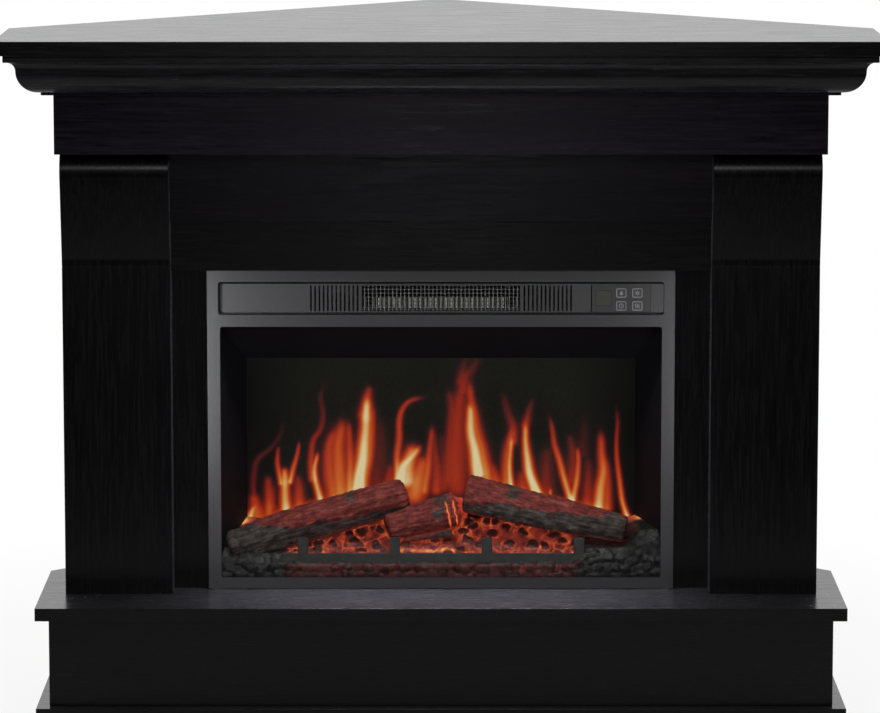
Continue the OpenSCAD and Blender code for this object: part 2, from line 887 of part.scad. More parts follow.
module blower_motor() {
  bore = shaft_in_motor + shaft_end_gap;
  color(zinc) difference() {
    rod_x(-duct_half - motor_len, -duct_half, blower_y, blower_z, motor_r);
    rod_x(-duct_half - bore, -duct_half + 1, blower_y, blower_z, shaft_r + shaft_fit);
  }
}

// ---- Casing ----

// One folded sheet: two sides and the top, with the rotor's bush on the right side
module casing_wrap() {
  color(zinc) drilled() difference() {
    union() {
      block([-casing_half, back_y, casing_z], [-casing_in, casing_end, casing_top]);
      block([casing_in, back_y, casing_z], [casing_half, casing_end, casing_top]);
      block([-casing_half, back_y, casing_top - sheet_t], [casing_half, casing_end, casing_top]);
      rod_x(casing_in - bush_len, casing_in, rotor_y, rotor_z, bush_r);
    }
    rod_x(casing_in - bush_len - 1, casing_in, rotor_y, rotor_z, shaft_r + shaft_fit);
  }
}

module casing_bottom() {
  color(zinc) block([-casing_in, back_y, casing_z], [casing_in, casing_end, casing_floor]);
}

module casing_back() {
  slot = [46, 5];
  pitch = [90, 13];
  drop = 90;
  color(zinc) difference() {
    block([-casing_half, casing_end, casing_z], [casing_half, casing_end + sheet_t, casing_top]);
    for (column = [-2:2], row = [0:5])
      translate([column * pitch[0] - slot[0] / 2, casing_end - 1, casing_top - drop - row * pitch[1]])
        cube([slot[0], sheet_t + 2, slot[1]]);
    at_gland() translate([0, 0, gland_in - 1])
      cylinder(h = sheet_t + 2, r = gland_r + screw_fit, $fn = round_fn);
  }
}

// The gland's axis, pointing out of the casing's back from the gland's inner end
module at_gland() {
  translate([casing_half - gland_inset, casing_end - gland_in, casing_z + gland_rise])
    rotate([-90, 0, 0]) children();
}

module cable_gland() {
  flange = [gland_r + 5, 3];
  nut = [gland_r + 4, 4];
  color(black_plastic) at_gland() difference() {
    union() {
      cylinder(h = gland_len, r = gland_r, $fn = round_fn);
      translate([0, 0, gland_in + sheet_t]) cylinder(h = flange[1], r = flange[0], $fn = round_fn);
      translate([0, 0, gland_in - nut[1]]) cylinder(h = nut[1], r = nut[0], $fn = 6);
    }
    translate([0, 0, -1]) cylinder(h = gland_len + 2, r = gland_bore_r, $fn = round_fn);
  }
}

module rubber_feet() {
  x = casing_half - feet_inset;
  color([0.05, 0.05, 0.05]) for (s = [-1, 1], y = feet_y)
    translate([s * x, y, plinth_z]) cylinder(h = foot_h, r1 = foot_r, r2 = foot_r - 2, $fn = round_fn);
}

// ---- Fire chamber and flame drive ----

// A section in Y and Z, drawn out far along X
module along_x() {
  translate([-big / 4, 0, 0]) rotate([90, 0, 90]) linear_extrude(big / 2) children();
}

// Two leaning sides and a sloping ceiling, folded from one sheet
module chamber_liner() {
  side = [[glass_half, chamber_y], [screen_half, screen_y], [screen_half - sheet_t, screen_y],
    [glass_half - sheet_t, chamber_y]];
  low = screen_top - screen_lap;
  color([0.04, 0.04, 0.05]) {
    for (s = [0, 1]) mirror([s, 0, 0])
      translate([0, 0, casing_floor]) linear_extrude(screen_top - casing_floor) polygon(side);
    intersection() {
      along_x() polygon([[chamber_y, glass_top], [screen_y, screen_top],
        [screen_y, screen_top - sheet_t], [chamber_y, glass_top - sheet_t]]);
      linear_extrude(big / 4) polygon([[-glass_half, chamber_y], [glass_half, chamber_y],
        [screen_half, screen_y], [-screen_half, screen_y]]);
    }
    intersection() {
      for (s = [0, 1]) mirror([s, 0, 0])
        translate([0, 0, screen_top - 1]) linear_extrude(glass_top - screen_top + 1) polygon(side);
      along_x() polygon([[chamber_y, glass_top], [screen_y, screen_top], [screen_y, low],
        [chamber_y, low]]);
    }
  }
}

module flame_screen() {
  half = screen_half + screen_lap;
  color([0.16, 0.16, 0.13])
    block([-half, screen_y, casing_floor], [half, inner_y, screen_top + screen_lap]);
}

module flame_rotor() {
  shaft_x = -casing_in + flame_motor_len - shaft_in_motor;
  color([0.8, 0.8, 0.82]) {
    rod_x(shaft_x, casing_in - shaft_end_gap, rotor_y, rotor_z, shaft_r);
    for (i = [0:rotor_flags - 1])
      translate([(i - (rotor_flags - 1) / 2) * flag_pitch, rotor_y, rotor_z])
        rotate([i * flag_turn, 0, 0])
          block([-flag_len / 2, -flag_t / 2, -rotor_r], [flag_len / 2, flag_t / 2, rotor_r]);
  }
}

module flame_motor() {
  face = -casing_in + flame_motor_len;
  bore = shaft_in_motor + shaft_end_gap;
  color(zinc) difference() {
    rod_x(-casing_in, face, rotor_y, rotor_z, flame_motor_r);
    rod_x(face - bore, face + 1, rotor_y, rotor_z, shaft_r + shaft_fit);
  }
}

module led_strips() {
  half = screen_half - 30;
  strip_w = 16;
  lamp = [5, 5, 2];
  lamp_pitch = 36;
  first = -half + lamp_pitch / 2;
  color([0.85, 0.85, 0.8]) for (y = [(bed_y + bed_end) / 2, inner_y + strip_w]) {
    block([-half, y - strip_w / 2, casing_floor], [half, y + strip_w / 2, casing_floor + circuit_t]);
    for (x = [first:lamp_pitch:half - lamp_pitch / 2])
      translate([x, y - lamp[1] / 2, casing_floor + circuit_t]) cube(lamp);
  }
}

// ---- Fire bed ----

function in_chamber(p) = [p[0] * screen_half, chamber_y + p[1] * chamber_d, casing_floor + p[2] * bed_h];

// A tapered round log between its two ends, made larger by grow where it cuts its seat
module log_solid(line, grow = 0) {
  start = in_chamber(line[0]);
  run = in_chamber(line[1]) - start;
  len = norm(run);
  translate(start) rotate([0, acos(run[2] / len), atan2(run[1], run[0])]) translate([0, 0, -grow])
    cylinder(h = len + 2 * grow, r1 = log_r * line[2] + grow, r2 = log_r * line[3] + grow, $fn = round_fn);
}

module log_left() {
  color([0.3, 0.14, 0.1]) log_solid(log_left_line);
}

module log_centre() {
  color([0.36, 0.16, 0.1]) log_solid(log_centre_line);
}

module log_right() {
  color([0.3, 0.14, 0.1]) log_solid(log_right_line);
}

// Rows of coals, each a little turned and moved from its neighbour
module coals() {
  rows = 3;
  pitch = 2.3 * coal_r;
  stray = 4;
  first_y = grate_y + grate_t + coal_r + 2;
  for (row = [0:rows - 1]) {
    y = mix(first_y, bed_end - coal_r, row / (rows - 1));
    count = floor((chamber_half(y) - 2 * coal_r) / pitch);
    for (i = [-count:count]) {
      x = i * pitch + stray * sin(i * 77 + row * 50);
      translate([x, y, bed_z(y) + stray / 2 * sin(i * 131 + row * 90)])
        rotate([i * 40, i * 25, i * 70]) sphere(coal_r, $fn = 6);
    }
  }
}

module fire_bed() {
  ledge = grate_y + grate_t + trim_gap;
  hollow_y = ledge + bed_lip;
  color([0.45, 0.16, 0.06]) difference() {
    union() {
      intersection() {
        along_x() polygon([[bed_y, casing_floor], [bed_y + skirt_lean, grate_z], [ledge, grate_z],
          [ledge, bed_front_z], [bed_end, bed_back_z], [bed_end, casing_floor]]);
        linear_extrude(big / 4)
          polygon([for (p = [[-1, bed_y], [1, bed_y], [1, bed_end], [-1, bed_end]])
            [p[0] * (chamber_half(p[1]) - sheet_t - bed_gap), p[1]]]);
      }
      coals();
      for (m = mounds) {
        y = chamber_y + m[1] * chamber_d;
        translate([m[0] * screen_half, y - mound_back, bed_z(y) - mound_sunk])
          cylinder(h = log_r * m[2], r1 = log_r * m[3], r2 = log_r * m[4], $fn = round_fn);
      }
    }
    along_x() polygon([[hollow_y, casing_floor - 1], [hollow_y, bed_front_z - bed_wall],
      [bed_end - bed_wall, bed_back_z - 2 * bed_wall], [bed_end - bed_wall, casing_floor - 1]]);
    log_solid(log_left_line, log_fit);
    log_solid(log_centre_line, log_fit);
    log_solid(log_right_line, log_fit);
  }
}

module grate_bar() {
  color([0.07, 0.08, 0.07]) {
    block([-grate_w / 2, grate_y, grate_z], [grate_w / 2, grate_y + grate_t, grate_z + grate_h]);
    for (i = [-1.5:1.5])
      block([i * grate_pitch - grate_post_w / 2, grate_y, grate_z],
        [i * grate_pitch + grate_post_w / 2, grate_y + grate_t, grate_z + grate_h + grate_post_h]);
  }
}

top_slab();
crown_front();
crown_left();
crown_right();
rear_rails();
cornice_board();
frieze_front();
frieze_left();
frieze_right();
header_soffit();
upper_beam();
lower_beam();
left_corbel();
right_corbel();
left_column_front();
right_column_front();
left_column_side();
right_column_side();
column_returns();
left_side_panel();
right_side_panel();
plinth_top_board();
plinth_front();
plinth_left();
plinth_right();
plinth_rear_boards();
plinth_base_board();
corner_post();
angle_brackets();
screws();
insert_frame();
front_glass();
vent_fascia();
vent_guard();
heating_element();
heater_duct();
blower_wheel();
blower_motor();
control_panel();
receiver_window();
flame_button();
dimmer_button();
timer_button();
heat_button();
control_board();
casing_wrap();
casing_bottom();
casing_back();
chamber_liner();
flame_screen();
flame_rotor();
flame_motor();
log_left();
log_centre();
log_right();
fire_bed();
grate_bar();
led_strips();
rubber_feet();
cable_gland();
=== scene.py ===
import json
import math

import bpy
import numpy as np
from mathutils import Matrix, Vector

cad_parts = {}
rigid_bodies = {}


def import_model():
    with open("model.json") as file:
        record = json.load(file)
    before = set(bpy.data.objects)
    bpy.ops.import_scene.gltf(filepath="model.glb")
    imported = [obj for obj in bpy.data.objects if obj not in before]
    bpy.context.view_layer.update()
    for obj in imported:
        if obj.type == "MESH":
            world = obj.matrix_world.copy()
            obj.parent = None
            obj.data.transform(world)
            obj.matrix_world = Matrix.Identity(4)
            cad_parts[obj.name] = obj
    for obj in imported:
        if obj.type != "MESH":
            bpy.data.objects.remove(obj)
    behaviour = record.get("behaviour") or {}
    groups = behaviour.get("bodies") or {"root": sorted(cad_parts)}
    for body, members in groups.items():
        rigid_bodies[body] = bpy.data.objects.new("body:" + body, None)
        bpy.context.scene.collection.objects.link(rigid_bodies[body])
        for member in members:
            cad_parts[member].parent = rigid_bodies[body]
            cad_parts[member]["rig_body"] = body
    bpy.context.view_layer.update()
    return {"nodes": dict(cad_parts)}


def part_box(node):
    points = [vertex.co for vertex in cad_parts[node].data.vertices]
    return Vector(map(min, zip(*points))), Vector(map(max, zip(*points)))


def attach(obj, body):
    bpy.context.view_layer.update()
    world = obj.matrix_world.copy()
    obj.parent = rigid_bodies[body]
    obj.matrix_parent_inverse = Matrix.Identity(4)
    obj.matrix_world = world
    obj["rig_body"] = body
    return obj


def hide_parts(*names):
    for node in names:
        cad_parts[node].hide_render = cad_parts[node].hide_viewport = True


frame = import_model()
nodes = frame["nodes"]
print("frame loaded:", len(nodes), "nodes")

mm = 0.001
white = (1, 1, 1, 1)


# ---- small helpers

def deselectAll():
    if bpy.context.object and bpy.context.object.mode != "OBJECT":
        bpy.ops.object.mode_set(mode="OBJECT")
    bpy.ops.object.select_all(action="DESELECT")


def pick(piece):
    deselectAll()
    piece.select_set(True)
    bpy.context.view_layer.objects.active = piece


def editMode(piece, select="SELECT"):
    pick(piece)
    bpy.ops.object.mode_set(mode="EDIT")
    bpy.ops.mesh.select_all(action=select)


def objectMode():
    bpy.ops.object.mode_set(mode="OBJECT")


def applyModifier(piece, kind, **settings):
    pick(piece)
    modifier = piece.modifiers.new(kind.lower(), kind)
    for key, value in settings.items():
        setattr(modifier, key, value)
    bpy.ops.object.modifier_apply(modifier=modifier.name)


def joinPieces(pieces, name):
    deselectAll()
    for piece in pieces:
        piece.select_set(True)
    bpy.context.view_layer.objects.active = pieces[0]
    bpy.ops.object.join()
    pieces[0].name = name
    return pieces[0]


def smooth(piece, degrees):
    pick(piece)
    bpy.ops.object.shade_smooth_by_angle(angle=math.radians(degrees))


def camel(nodeName):
    words = nodeName.split("_")
    return words[0] + "".join(word.title() for word in words[1:])


def dress(piece, materials, body="root", stands=()):
    piece.data.materials.clear()
    for material in materials if isinstance(materials, list) else [materials]:
        piece.data.materials.append(material)
    if stands:
        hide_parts(*stands)
    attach(piece, body)
    return piece


def bodyOf(nodeName):
    return nodes[nodeName]["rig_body"]


def boxOf(nodeName):     # its lowest and its highest corner, in mm
    return [np.array(corner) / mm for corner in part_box(nodeName)]


# a merged copy of a CAD piece, with its sharp edges eased; a warp lists (place, shift) in mm along
# x and z, for what lies in front of its "front"
def easedCopy(nodeName, edge, segments=2, warp=None):
    piece = bpy.data.objects.new(camel(nodeName), nodes[nodeName].data.copy())
    bpy.context.scene.collection.objects.link(piece)
    editMode(piece)
    bpy.ops.mesh.remove_doubles(threshold=0.01 * mm)
    bpy.ops.mesh.customdata_custom_splitnormals_clear()
    bpy.ops.mesh.dissolve_limited(angle_limit=math.radians(0.6))
    objectMode()
    steps = dict(warp or {})
    front = steps.pop("front", 0) * mm
    for letter, shifts in steps.items():
        axis = "xyz".index(letter)
        for point in piece.data.vertices:
            if point.co.y < front:
                point.co[axis] += np.interp(point.co[axis] / mm, *zip(*shifts)) * mm
    applyModifier(piece, "BEVEL", width=edge * mm, segments=segments, limit_method="ANGLE",
                  angle_limit=math.radians(35), use_clamp_overlap=True)
    smooth(piece, 50)
    applyModifier(piece, "WEIGHTED_NORMAL", weight=100, keep_sharp=True)
    return piece


# ---- materials: each is built from a few nodes on object coordinates

def newMaterial(name, **values):
    material = bpy.data.materials.new(name)
    material.use_nodes = True
    shader = material.node_tree.nodes["Principled BSDF"]
    for key, value in values.items():
        shader.inputs[key].default_value = value
    return material, material.node_tree, shader


def feed(tree, node, inputs):     # each socket, by name or number, gets a link or a plain value
    for key, value in inputs.items():
        if isinstance(value, bpy.types.NodeSocket):
            tree.links.new(value, node.inputs[key])
        else:
            node.inputs[key].default_value = value
    return node


def addNode(tree, kind, settings=None, **inputs):
    node = tree.nodes.new(kind)
    for key, value in (settings or {}).items():
        setattr(node, key, value)
    return feed(tree, node, {key.replace("_", " "): value for key, value in inputs.items()})


def attribute(tree, name, output="Fac"):
    return addNode(tree, "ShaderNodeAttribute", {"attribute_name": name}).outputs[output]


def calculate(tree, operation, *values):
    node = addNode(tree, "ShaderNodeMath", {"operation": operation})
    return feed(tree, node, dict(enumerate(values))).outputs[0]


def mixed(tree, factor, first, second, blend="MIX"):     # of two colours
    node = addNode(tree, "ShaderNodeMix", {"data_type": "RGBA", "blend_type": blend})
    return feed(tree, node, {0: factor, 6: first, 7: second}).outputs[2]


def objectPoint(tree, scale=(1, 1, 1)):
    point = addNode(tree, "ShaderNodeTexCoord").outputs["Object"]
    return addNode(tree, "ShaderNodeMapping", Vector=point, Scale=scale).outputs[0]


def noise(tree, scale, detail=2, roughness=0.5, point=None):
    return addNode(tree, "ShaderNodeTexNoise", Vector=objectPoint(tree) if point is None else point,
                   Scale=scale, Detail=detail, Roughness=roughness).outputs[0]


def ramp(tree, value, stops):
    node = addNode(tree, "ShaderNodeValToRGB", Fac=value)
    elements = node.color_ramp.elements
    elements[0].position, elements[1].position = stops[0][0], stops[-1][0]
    for place, _ in stops[1:-1]:
        elements.new(place)
    for element, (place, colour) in zip(elements, stops):
        element.color = (*colour, 1)
    return node.outputs[0]


def span(tree, value, low, high, start=0.0, end=1.0):
    node = addNode(tree, "ShaderNodeMapRange", Value=value, To_Min=low, To_Max=high,
                   From_Min=start, From_Max=end)
    return node.outputs[0]


def bump(tree, shader, height, strength, distance):
    node = addNode(tree, "ShaderNodeBump", Height=height, Strength=strength, Distance=distance * mm)
    feed(tree, shader, {"Normal": node.outputs[0]})


def glowing(tree, shader, value, stops):     # light of its own, by a painted value
    tones = [(place, tone(*colour)) for place, colour in stops]
    feed(tree, shader, {"Emission Color": ramp(tree, value, tones), "Emission Strength": 1.0})


# near-black stained oak veneer; fibre and pores run along one axis
veneerLook = {     # tones: dark, light and fleck
    "plain": ((0.0015, 0.0015, 0.0016), (0.0036, 0.0035, 0.0038), (0.012, 0.011, 0.012)),
    "violet": ((0.0025, 0.0014, 0.0036), (0.0070, 0.0040, 0.0100), (0.020, 0.014, 0.024)),
    "along": 14, "across": 260, "cloud": 0.09, "ior": 1.25, "roughness": (0.20, 0.32), "poreDepth": 0.06,
    "haze": 0.05, "hazeRoughness": 0.4, "hazeTint": (0.86, 0.86, 1.0, 1),
}


# the last argument scales the tones; where it is not 1 it paints light or shade on the board
def veneer(name, axis, tint, lift):
    look = veneerLook
    dark, light, fleck = (tuple(value * lift for value in colour) for colour in look[tint])
    material, tree, shader = newMaterial("veneer" + name, IOR=look["ior"])
    stretch = [look["along"] if letter == axis else look["across"] for letter in "xyz"]
    point = objectPoint(tree, stretch)
    fibre = noise(tree, 1.0, 5, 0.62, point)
    pores = noise(tree, 3.1, point=point)
    broad = noise(tree, 1.0, 3, point=objectPoint(tree, [share * look["cloud"] for share in stretch]))
    ground = ramp(tree, fibre, [(0.34, dark), (0.62, light)])
    cloud = ramp(tree, broad, [(0.3, (0.45, 0.45, 0.5)), (0.7, (1.0, 0.92, 1.0))])
    clouded = mixed(tree, 0.6, ground, cloud, "MULTIPLY")
    flecked = mixed(tree, span(tree, pores, 0, 1, 0.66, 0.76), clouded, (*fleck, 1))
    feed(tree, shader, {
        "Base Color": flecked, "Roughness": span(tree, fibre, *look["roughness"], 0.3, 0.7),
        "Sheen Weight": look["haze"], "Sheen Roughness": look["hazeRoughness"],
        "Sheen Tint": look["hazeTint"],
    })
    bump(tree, shader, pores, 0.35, look["poreDepth"])
    return material


# pressed fibre board, bare where no veneer was laid
def bareBoard():
    material, tree, shader = newMaterial("bareBoard", Roughness=0.85, IOR=1.4)
    fine = noise(tree, 900, 3)
    broad = noise(tree, 9, 4)
    chips = ramp(tree, fine, [(0.3, (0.16, 0.098, 0.052)), (0.7, (0.31, 0.21, 0.13))])
    cloud = ramp(tree, broad, [(0.3, (0.6, 0.56, 0.5)), (0.7, (1, 1, 1))])
    feed(tree, shader, {"Base Color": mixed(tree, 0.5, chips, cloud, "MULTIPLY")})
    bump(tree, shader, fine, 0.3, 0.15)
    return material


# metals, plastics and rubber: two tones on noise, on cells (spangled) or from one place on an axis to
# another, painted light in front and painted shade behind
finishes = {     # dark tone, light tone, scale of the pattern, metallic, roughness, depth of the bump in mm
    "satinFrame": ((0.052, 0.052, 0.055), (0.064, 0.064, 0.067), 420, 0.55, (0.34, 0.42), 0.01),
    "stripPlastic": ((0.03, 0.03, 0.032), (0.04, 0.04, 0.042), 700, 0.0, (0.4, 0.52), 0.012),
    "panelPlastic": ((0.026, 0.026, 0.027), (0.032, 0.032, 0.033), 800, 0.0, (0.36, 0.44), 0.008),
    "guardWire": ((0.006, 0.006, 0.006), (0.085, 0.085, 0.085), 0, 0.3, (0.45, 0.5), 0.0),
    "heaterAlloy": ((0.1, 0.1, 0.095), (0.95, 0.95, 0.93), 0, 0.2, (0.35, 0.5), 0.0),
    "heaterFrame": ((0.035, 0.034, 0.032), (0.08, 0.078, 0.072), 220, 0.4, (0.4, 0.55), 0.02),
    # the duct behind the guard is painted near black as shade
    "ductPaintedShade": ((0.006, 0.006, 0.006), (0.014, 0.014, 0.014), 120, 0.3, (0.5, 0.7), 0.02),
    "zincSteel": ((0.42, 0.43, 0.44), (0.5, 0.51, 0.52), 120, 0.9, (0.36, 0.42), 0.004),
    "screwSteel": ((0.42, 0.38, 0.25), (0.62, 0.57, 0.4), 300, 1.0, (0.25, 0.4), 0.01),
    "motorSteel": ((0.22, 0.22, 0.23), (0.34, 0.34, 0.35), 260, 0.9, (0.35, 0.5), 0.02),
    "blackPlastic": ((0.01, 0.01, 0.011), (0.018, 0.018, 0.019), 600, 0.0, (0.42, 0.55), 0.02),
    "chamberBlack": ((0.0135, 0.0135, 0.0175), (0.0195, 0.0195, 0.024), 240, 0.0, (0.55, 0.7), 0.02),
    "rotorFoil": ((0.72, 0.72, 0.74), (0.9, 0.9, 0.92), 60, 1.0, (0.08, 0.22), 0.06),
    "boardGreen": ((0.008, 0.075, 0.025), (0.018, 0.12, 0.045), 180, 0.0, (0.3, 0.45), 0.02),
    "lampBoard": ((0.62, 0.62, 0.58), (0.78, 0.78, 0.74), 240, 0.0, (0.35, 0.5), 0.01),
    "rubber": ((0.008, 0.008, 0.008), (0.014, 0.014, 0.014), 420, 0.0, (0.7, 0.85), 0.04),
    "gland": ((0.012, 0.012, 0.013), (0.02, 0.02, 0.021), 420, 0.0, (0.4, 0.55), 0.02),
    "barIron": ((0.068, 0.07, 0.068), (0.108, 0.111, 0.107), 130, 0.2, (0.45, 0.7), 0.06),
    "receiverLens": ((0.032, 0.0325, 0.0275), (0.037, 0.0375, 0.032), 120, 0.0, (0.34, 0.4), 0.0),
    "printWhite": ((0.3, 0.3, 0.32), (0.42, 0.42, 0.44), 900, 0.0, (0.5, 0.6), 0.0),
}
# painted light and shade: the guard's front wires and the heater's front crests are painted light, what lies
# behind them dark
paintedDepthLight = {"guardWire": ("Y", -0.2607, -0.2613), "heaterAlloy": ("Y", -0.2526, -0.2562)}
spangled = ["zincSteel"]
refraction = {"chamberBlack": 1.2}     # the others have 1.45


def finish(name):
    dark, light, scale, metallic, roughness, depth = finishes[name]
    material, tree, shader = newMaterial(name, Metallic=metallic, IOR=refraction.get(name, 1.45))
    point = objectPoint(tree)
    if name in paintedDepthLight:
        letter, start, end = paintedDepthLight[name]
        place = addNode(tree, "ShaderNodeSeparateXYZ", Vector=point).outputs[letter]
        pattern = span(tree, place, 0.3, 0.7, start, end)
    elif name in spangled:
        spangle = addNode(tree, "ShaderNodeTexVoronoi", Vector=point, Scale=scale)
        pattern = addNode(tree, "ShaderNodeSeparateColor", Color=spangle.outputs["Color"]).outputs[0]
    else:
        pattern = noise(tree, scale, 4, point=point)
    feed(tree, shader, {"Base Color": ramp(tree, pattern, [(0.3, dark), (0.7, light)]),
                        "Roughness": span(tree, pattern, *roughness, 0.3, 0.7)})
    if depth:
        bump(tree, shader, pattern, 0.4, depth)
    return material


veneerKinds = {     # grain axis, tint, lift of the tones
    "X": ("x", "plain", 1.0), "Y": ("y", "plain", 1.0), "Z": ("z", "plain", 1.0),
    # the lifts above 1 paint light on the frieze and the crown, the lift below 1 paints shade on the upper
    # beam
    "Frieze": ("x", "violet", 1.5), "Beam": ("x", "violet", 0.7),
    "CrownX": ("x", "plain", 6.0), "CrownY": ("y", "plain", 6.0),
}
veneers = {name: veneer(name, *kind) for name, kind in veneerKinds.items()}
bare = bareBoard()
made = {name: finish(name) for name in finishes}
print("materials ready")


# ---- studio: camera, world, lamps and floor

studio = {
    "cameraPlace": (-0.0014, -6.7325, 1.4424), "cameraPitch": 0.1454, "lens": 188.5, "sensor": 36.0,
    "frontLevel": 0.01, "rearLevel": 1.22, "levelWidth": 0.25,     # the world's light, in front and behind
    "floorRadius": 1.55, "floorTone": 0.80, "floorFade": (0.7, 1.2), "floorWhite": (0.88, 1.0),
    "lamps": {
        "highCard": {"at": (0.0, -6.0, 2.6), "to": (0, 0, 0.6), "size": (1.6, 1.0), "watts": 63},
        "frontCard": {"at": (0.0, -7.0, 0.25), "to": (0, 0, 0.25), "size": (0.25, 1.0), "watts": 5.1},
        "overhead": {"at": (0.0, -0.75, 1.5), "to": (0, -0.35, 0.5), "size": (0.5, 0.2), "watts": 8.0},
        "topSoft": {"at": (0.0, -0.2, 3.0), "to": (0, -0.2, 0.5), "size": (1.6, 1.0), "watts": 3.5},
        "nearLeft": {"at": (-0.42, -0.46, 0.46), "to": (-0.30, -0.27, 0.46), "size": (0.1, 0.3),
                     "watts": 0.99, "only": "insert"},
        "nearRight": {"at": (0.42, -0.46, 0.46), "to": (0.30, -0.27, 0.46), "size": (0.1, 0.3),
                      "watts": 0.44, "only": "insert"},
        "grillePool": {"at": (0, -0.95, 0.66), "to": (0, -0.26, 0.58), "size": (0.2, 0.1), "watts": 2.2,
                       "only": "grille"},
        "plinthPool": {"at": (0, -0.34, 0.62), "to": (0, -0.34, 0.16), "size": (0.56, 0.06), "watts": 6.8,
                       "spread": 50, "colour": (0.9, 0.9, 1.0), "only": "plinth"},
    },
}
# pieces that have lamps of their own
linked = {name: bpy.data.collections.new(name) for name in ("insert", "plinth", "grille")}


def placeCamera():
    camera = bpy.data.objects.new("camera", bpy.data.cameras.new("camera"))
    bpy.context.scene.collection.objects.link(camera)
    camera.location = studio["cameraPlace"]
    camera.rotation_euler = (math.pi / 2 - studio["cameraPitch"], 0, 0)
    camera.data.lens = studio["lens"]
    camera.data.sensor_width = studio["sensor"]
    bpy.context.scene.camera = camera
    bpy.context.scene.view_settings.view_transform = "Standard"


def eitherShader(tree, share, first, second, target):
    both = addNode(tree, "ShaderNodeMixShader", Fac=share)
    feed(tree, both, {1: first.outputs[0], 2: second.outputs[0]})
    tree.links.new(both.outputs[0], target)


def lightWorld():     # seen white, but it lights the object mostly from behind
    world = bpy.data.worlds.new("studio")
    bpy.context.scene.world = world
    world.use_nodes = True
    tree = world.node_tree
    tree.nodes.clear()
    path = addNode(tree, "ShaderNodeLightPath").outputs
    direction = addNode(tree, "ShaderNodeTexCoord").outputs["Generated"]
    depth = addNode(tree, "ShaderNodeSeparateXYZ", Vector=direction).outputs["Y"]
    level = span(tree, depth, studio["frontLevel"], studio["rearLevel"], -studio["levelWidth"],
                 studio["levelWidth"])
    around = addNode(tree, "ShaderNodeBackground", Color=white, Strength=level)
    plain = addNode(tree, "ShaderNodeBackground", Color=white, Strength=1.0)
    seen = calculate(tree, "MAXIMUM", path["Is Camera Ray"], path["Is Transmission Ray"])
    out = addNode(tree, "ShaderNodeOutputWorld")
    eitherShader(tree, seen, around, plain, out.inputs[0])


def placeLamps():
    for name, setup in studio["lamps"].items():
        lamp = bpy.data.objects.new(name, bpy.data.lights.new(name, "AREA"))
        bpy.context.scene.collection.objects.link(lamp)
        lamp.location = setup["at"]
        aim = Vector(setup["to"]) - Vector(setup["at"])
        lamp.rotation_euler = aim.to_track_quat("-Z", "Y").to_euler()
        lamp.data.shape = "RECTANGLE"
        lamp.data.size, lamp.data.size_y = setup["size"]
        lamp.data.energy = setup["watts"]
        lamp.data.color = setup.get("colour", white[:3])
        lamp.data.spread = math.radians(setup.get("spread", 180))
        lamp.visible_camera = False
        if "only" in setup:
            lamp.light_linking.receiver_collection = linked[setup["only"]]


def layFloor():     # pale, and seen white away from the object's shadow
    deselectAll()
    bpy.ops.mesh.primitive_circle_add(vertices=96, radius=studio["floorRadius"], fill_type="NGON",
                                      location=(0, 0, 0))
    floor = bpy.context.object
    floor.name = "floor"
    floor.data.transform(floor.matrix_world)
    material, tree, shader = newMaterial("paleFloor", Roughness=0.9)
    shader.inputs["Base Color"].default_value = (studio["floorTone"],) * 3 + (1,)
    path = addNode(tree, "ShaderNodeLightPath").outputs
    glow = addNode(tree, "ShaderNodeEmission", Color=white, Strength=1.0)
    radius = addNode(tree, "ShaderNodeVectorMath", {"operation": "LENGTH"}, Vector=objectPoint(tree))
    fade = span(tree, radius.outputs["Value"], *studio["floorWhite"], *studio["floorFade"])
    seen = calculate(tree, "MULTIPLY", path["Is Camera Ray"], fade)
    eitherShader(tree, seen, shader, glow, tree.nodes["Material Output"].inputs[0])
    floor.data.materials.append(material)


placeCamera()
lightWorld()
placeLamps()
layFloor()
print("studio ready")


# ---- mantel: every board keeps its place, with eased edges and grain along its length

boards = {
    "edge": 0.8,
    "grain": {
        "CrownX": ["crown_front"],
        "CrownY": ["crown_left", "crown_right"],
        "X": ["top_slab", "rear_rails", "cornice_board", "header_soffit", "lower_beam",
              "plinth_top_board", "plinth_front", "plinth_base_board", "plinth_rear_boards"],
        "Frieze": ["frieze_front"],
        "Beam": ["upper_beam"],
        "Y": ["frieze_left", "frieze_right", "plinth_left", "plinth_right"],
        "Z": ["left_corbel", "right_corbel", "left_column_front", "right_column_front",
              "left_column_side", "right_column_side", "column_returns", "left_side_panel",
              "right_side_panel", "corner_post"],
    },
    "bareAll": ["rear_rails", "header_soffit", "plinth_rear_boards", "corner_post"],
    "bareInside": ["left_column_side", "right_column_side", "frieze_left", "frieze_right",
                   "plinth_left", "plinth_right"],
}


# faces without veneer: all but the underside of the soffit, the hidden sides, and else the rear
def isBare(name, centre, normal):
    if name in boards["bareAll"]:
        return normal.z > -0.5 or name != "header_soffit"
    if name == "column_returns":
        return normal.x * centre.x > 0.5 * abs(centre.x) or normal.y > 0.5
    if name in boards["bareInside"]:
        return normal.x * centre.x < -0.5 * abs(centre.x) or normal.y > 0.5
    return normal.y > 0.6


def buildMantel():
    for kind, names in boards["grain"].items():
        for name in names:
            piece = easedCopy(name, boards["edge"])
            dress(piece, [veneers[kind], bare], stands=[name])
            for face in piece.data.polygons:
                face.material_index = int(isBare(name, face.center, face.normal))
    linked["plinth"].objects.link(bpy.data.objects["plinthTopBoard"])
    print("mantel ready")


buildMantel()


# ---- firebox front

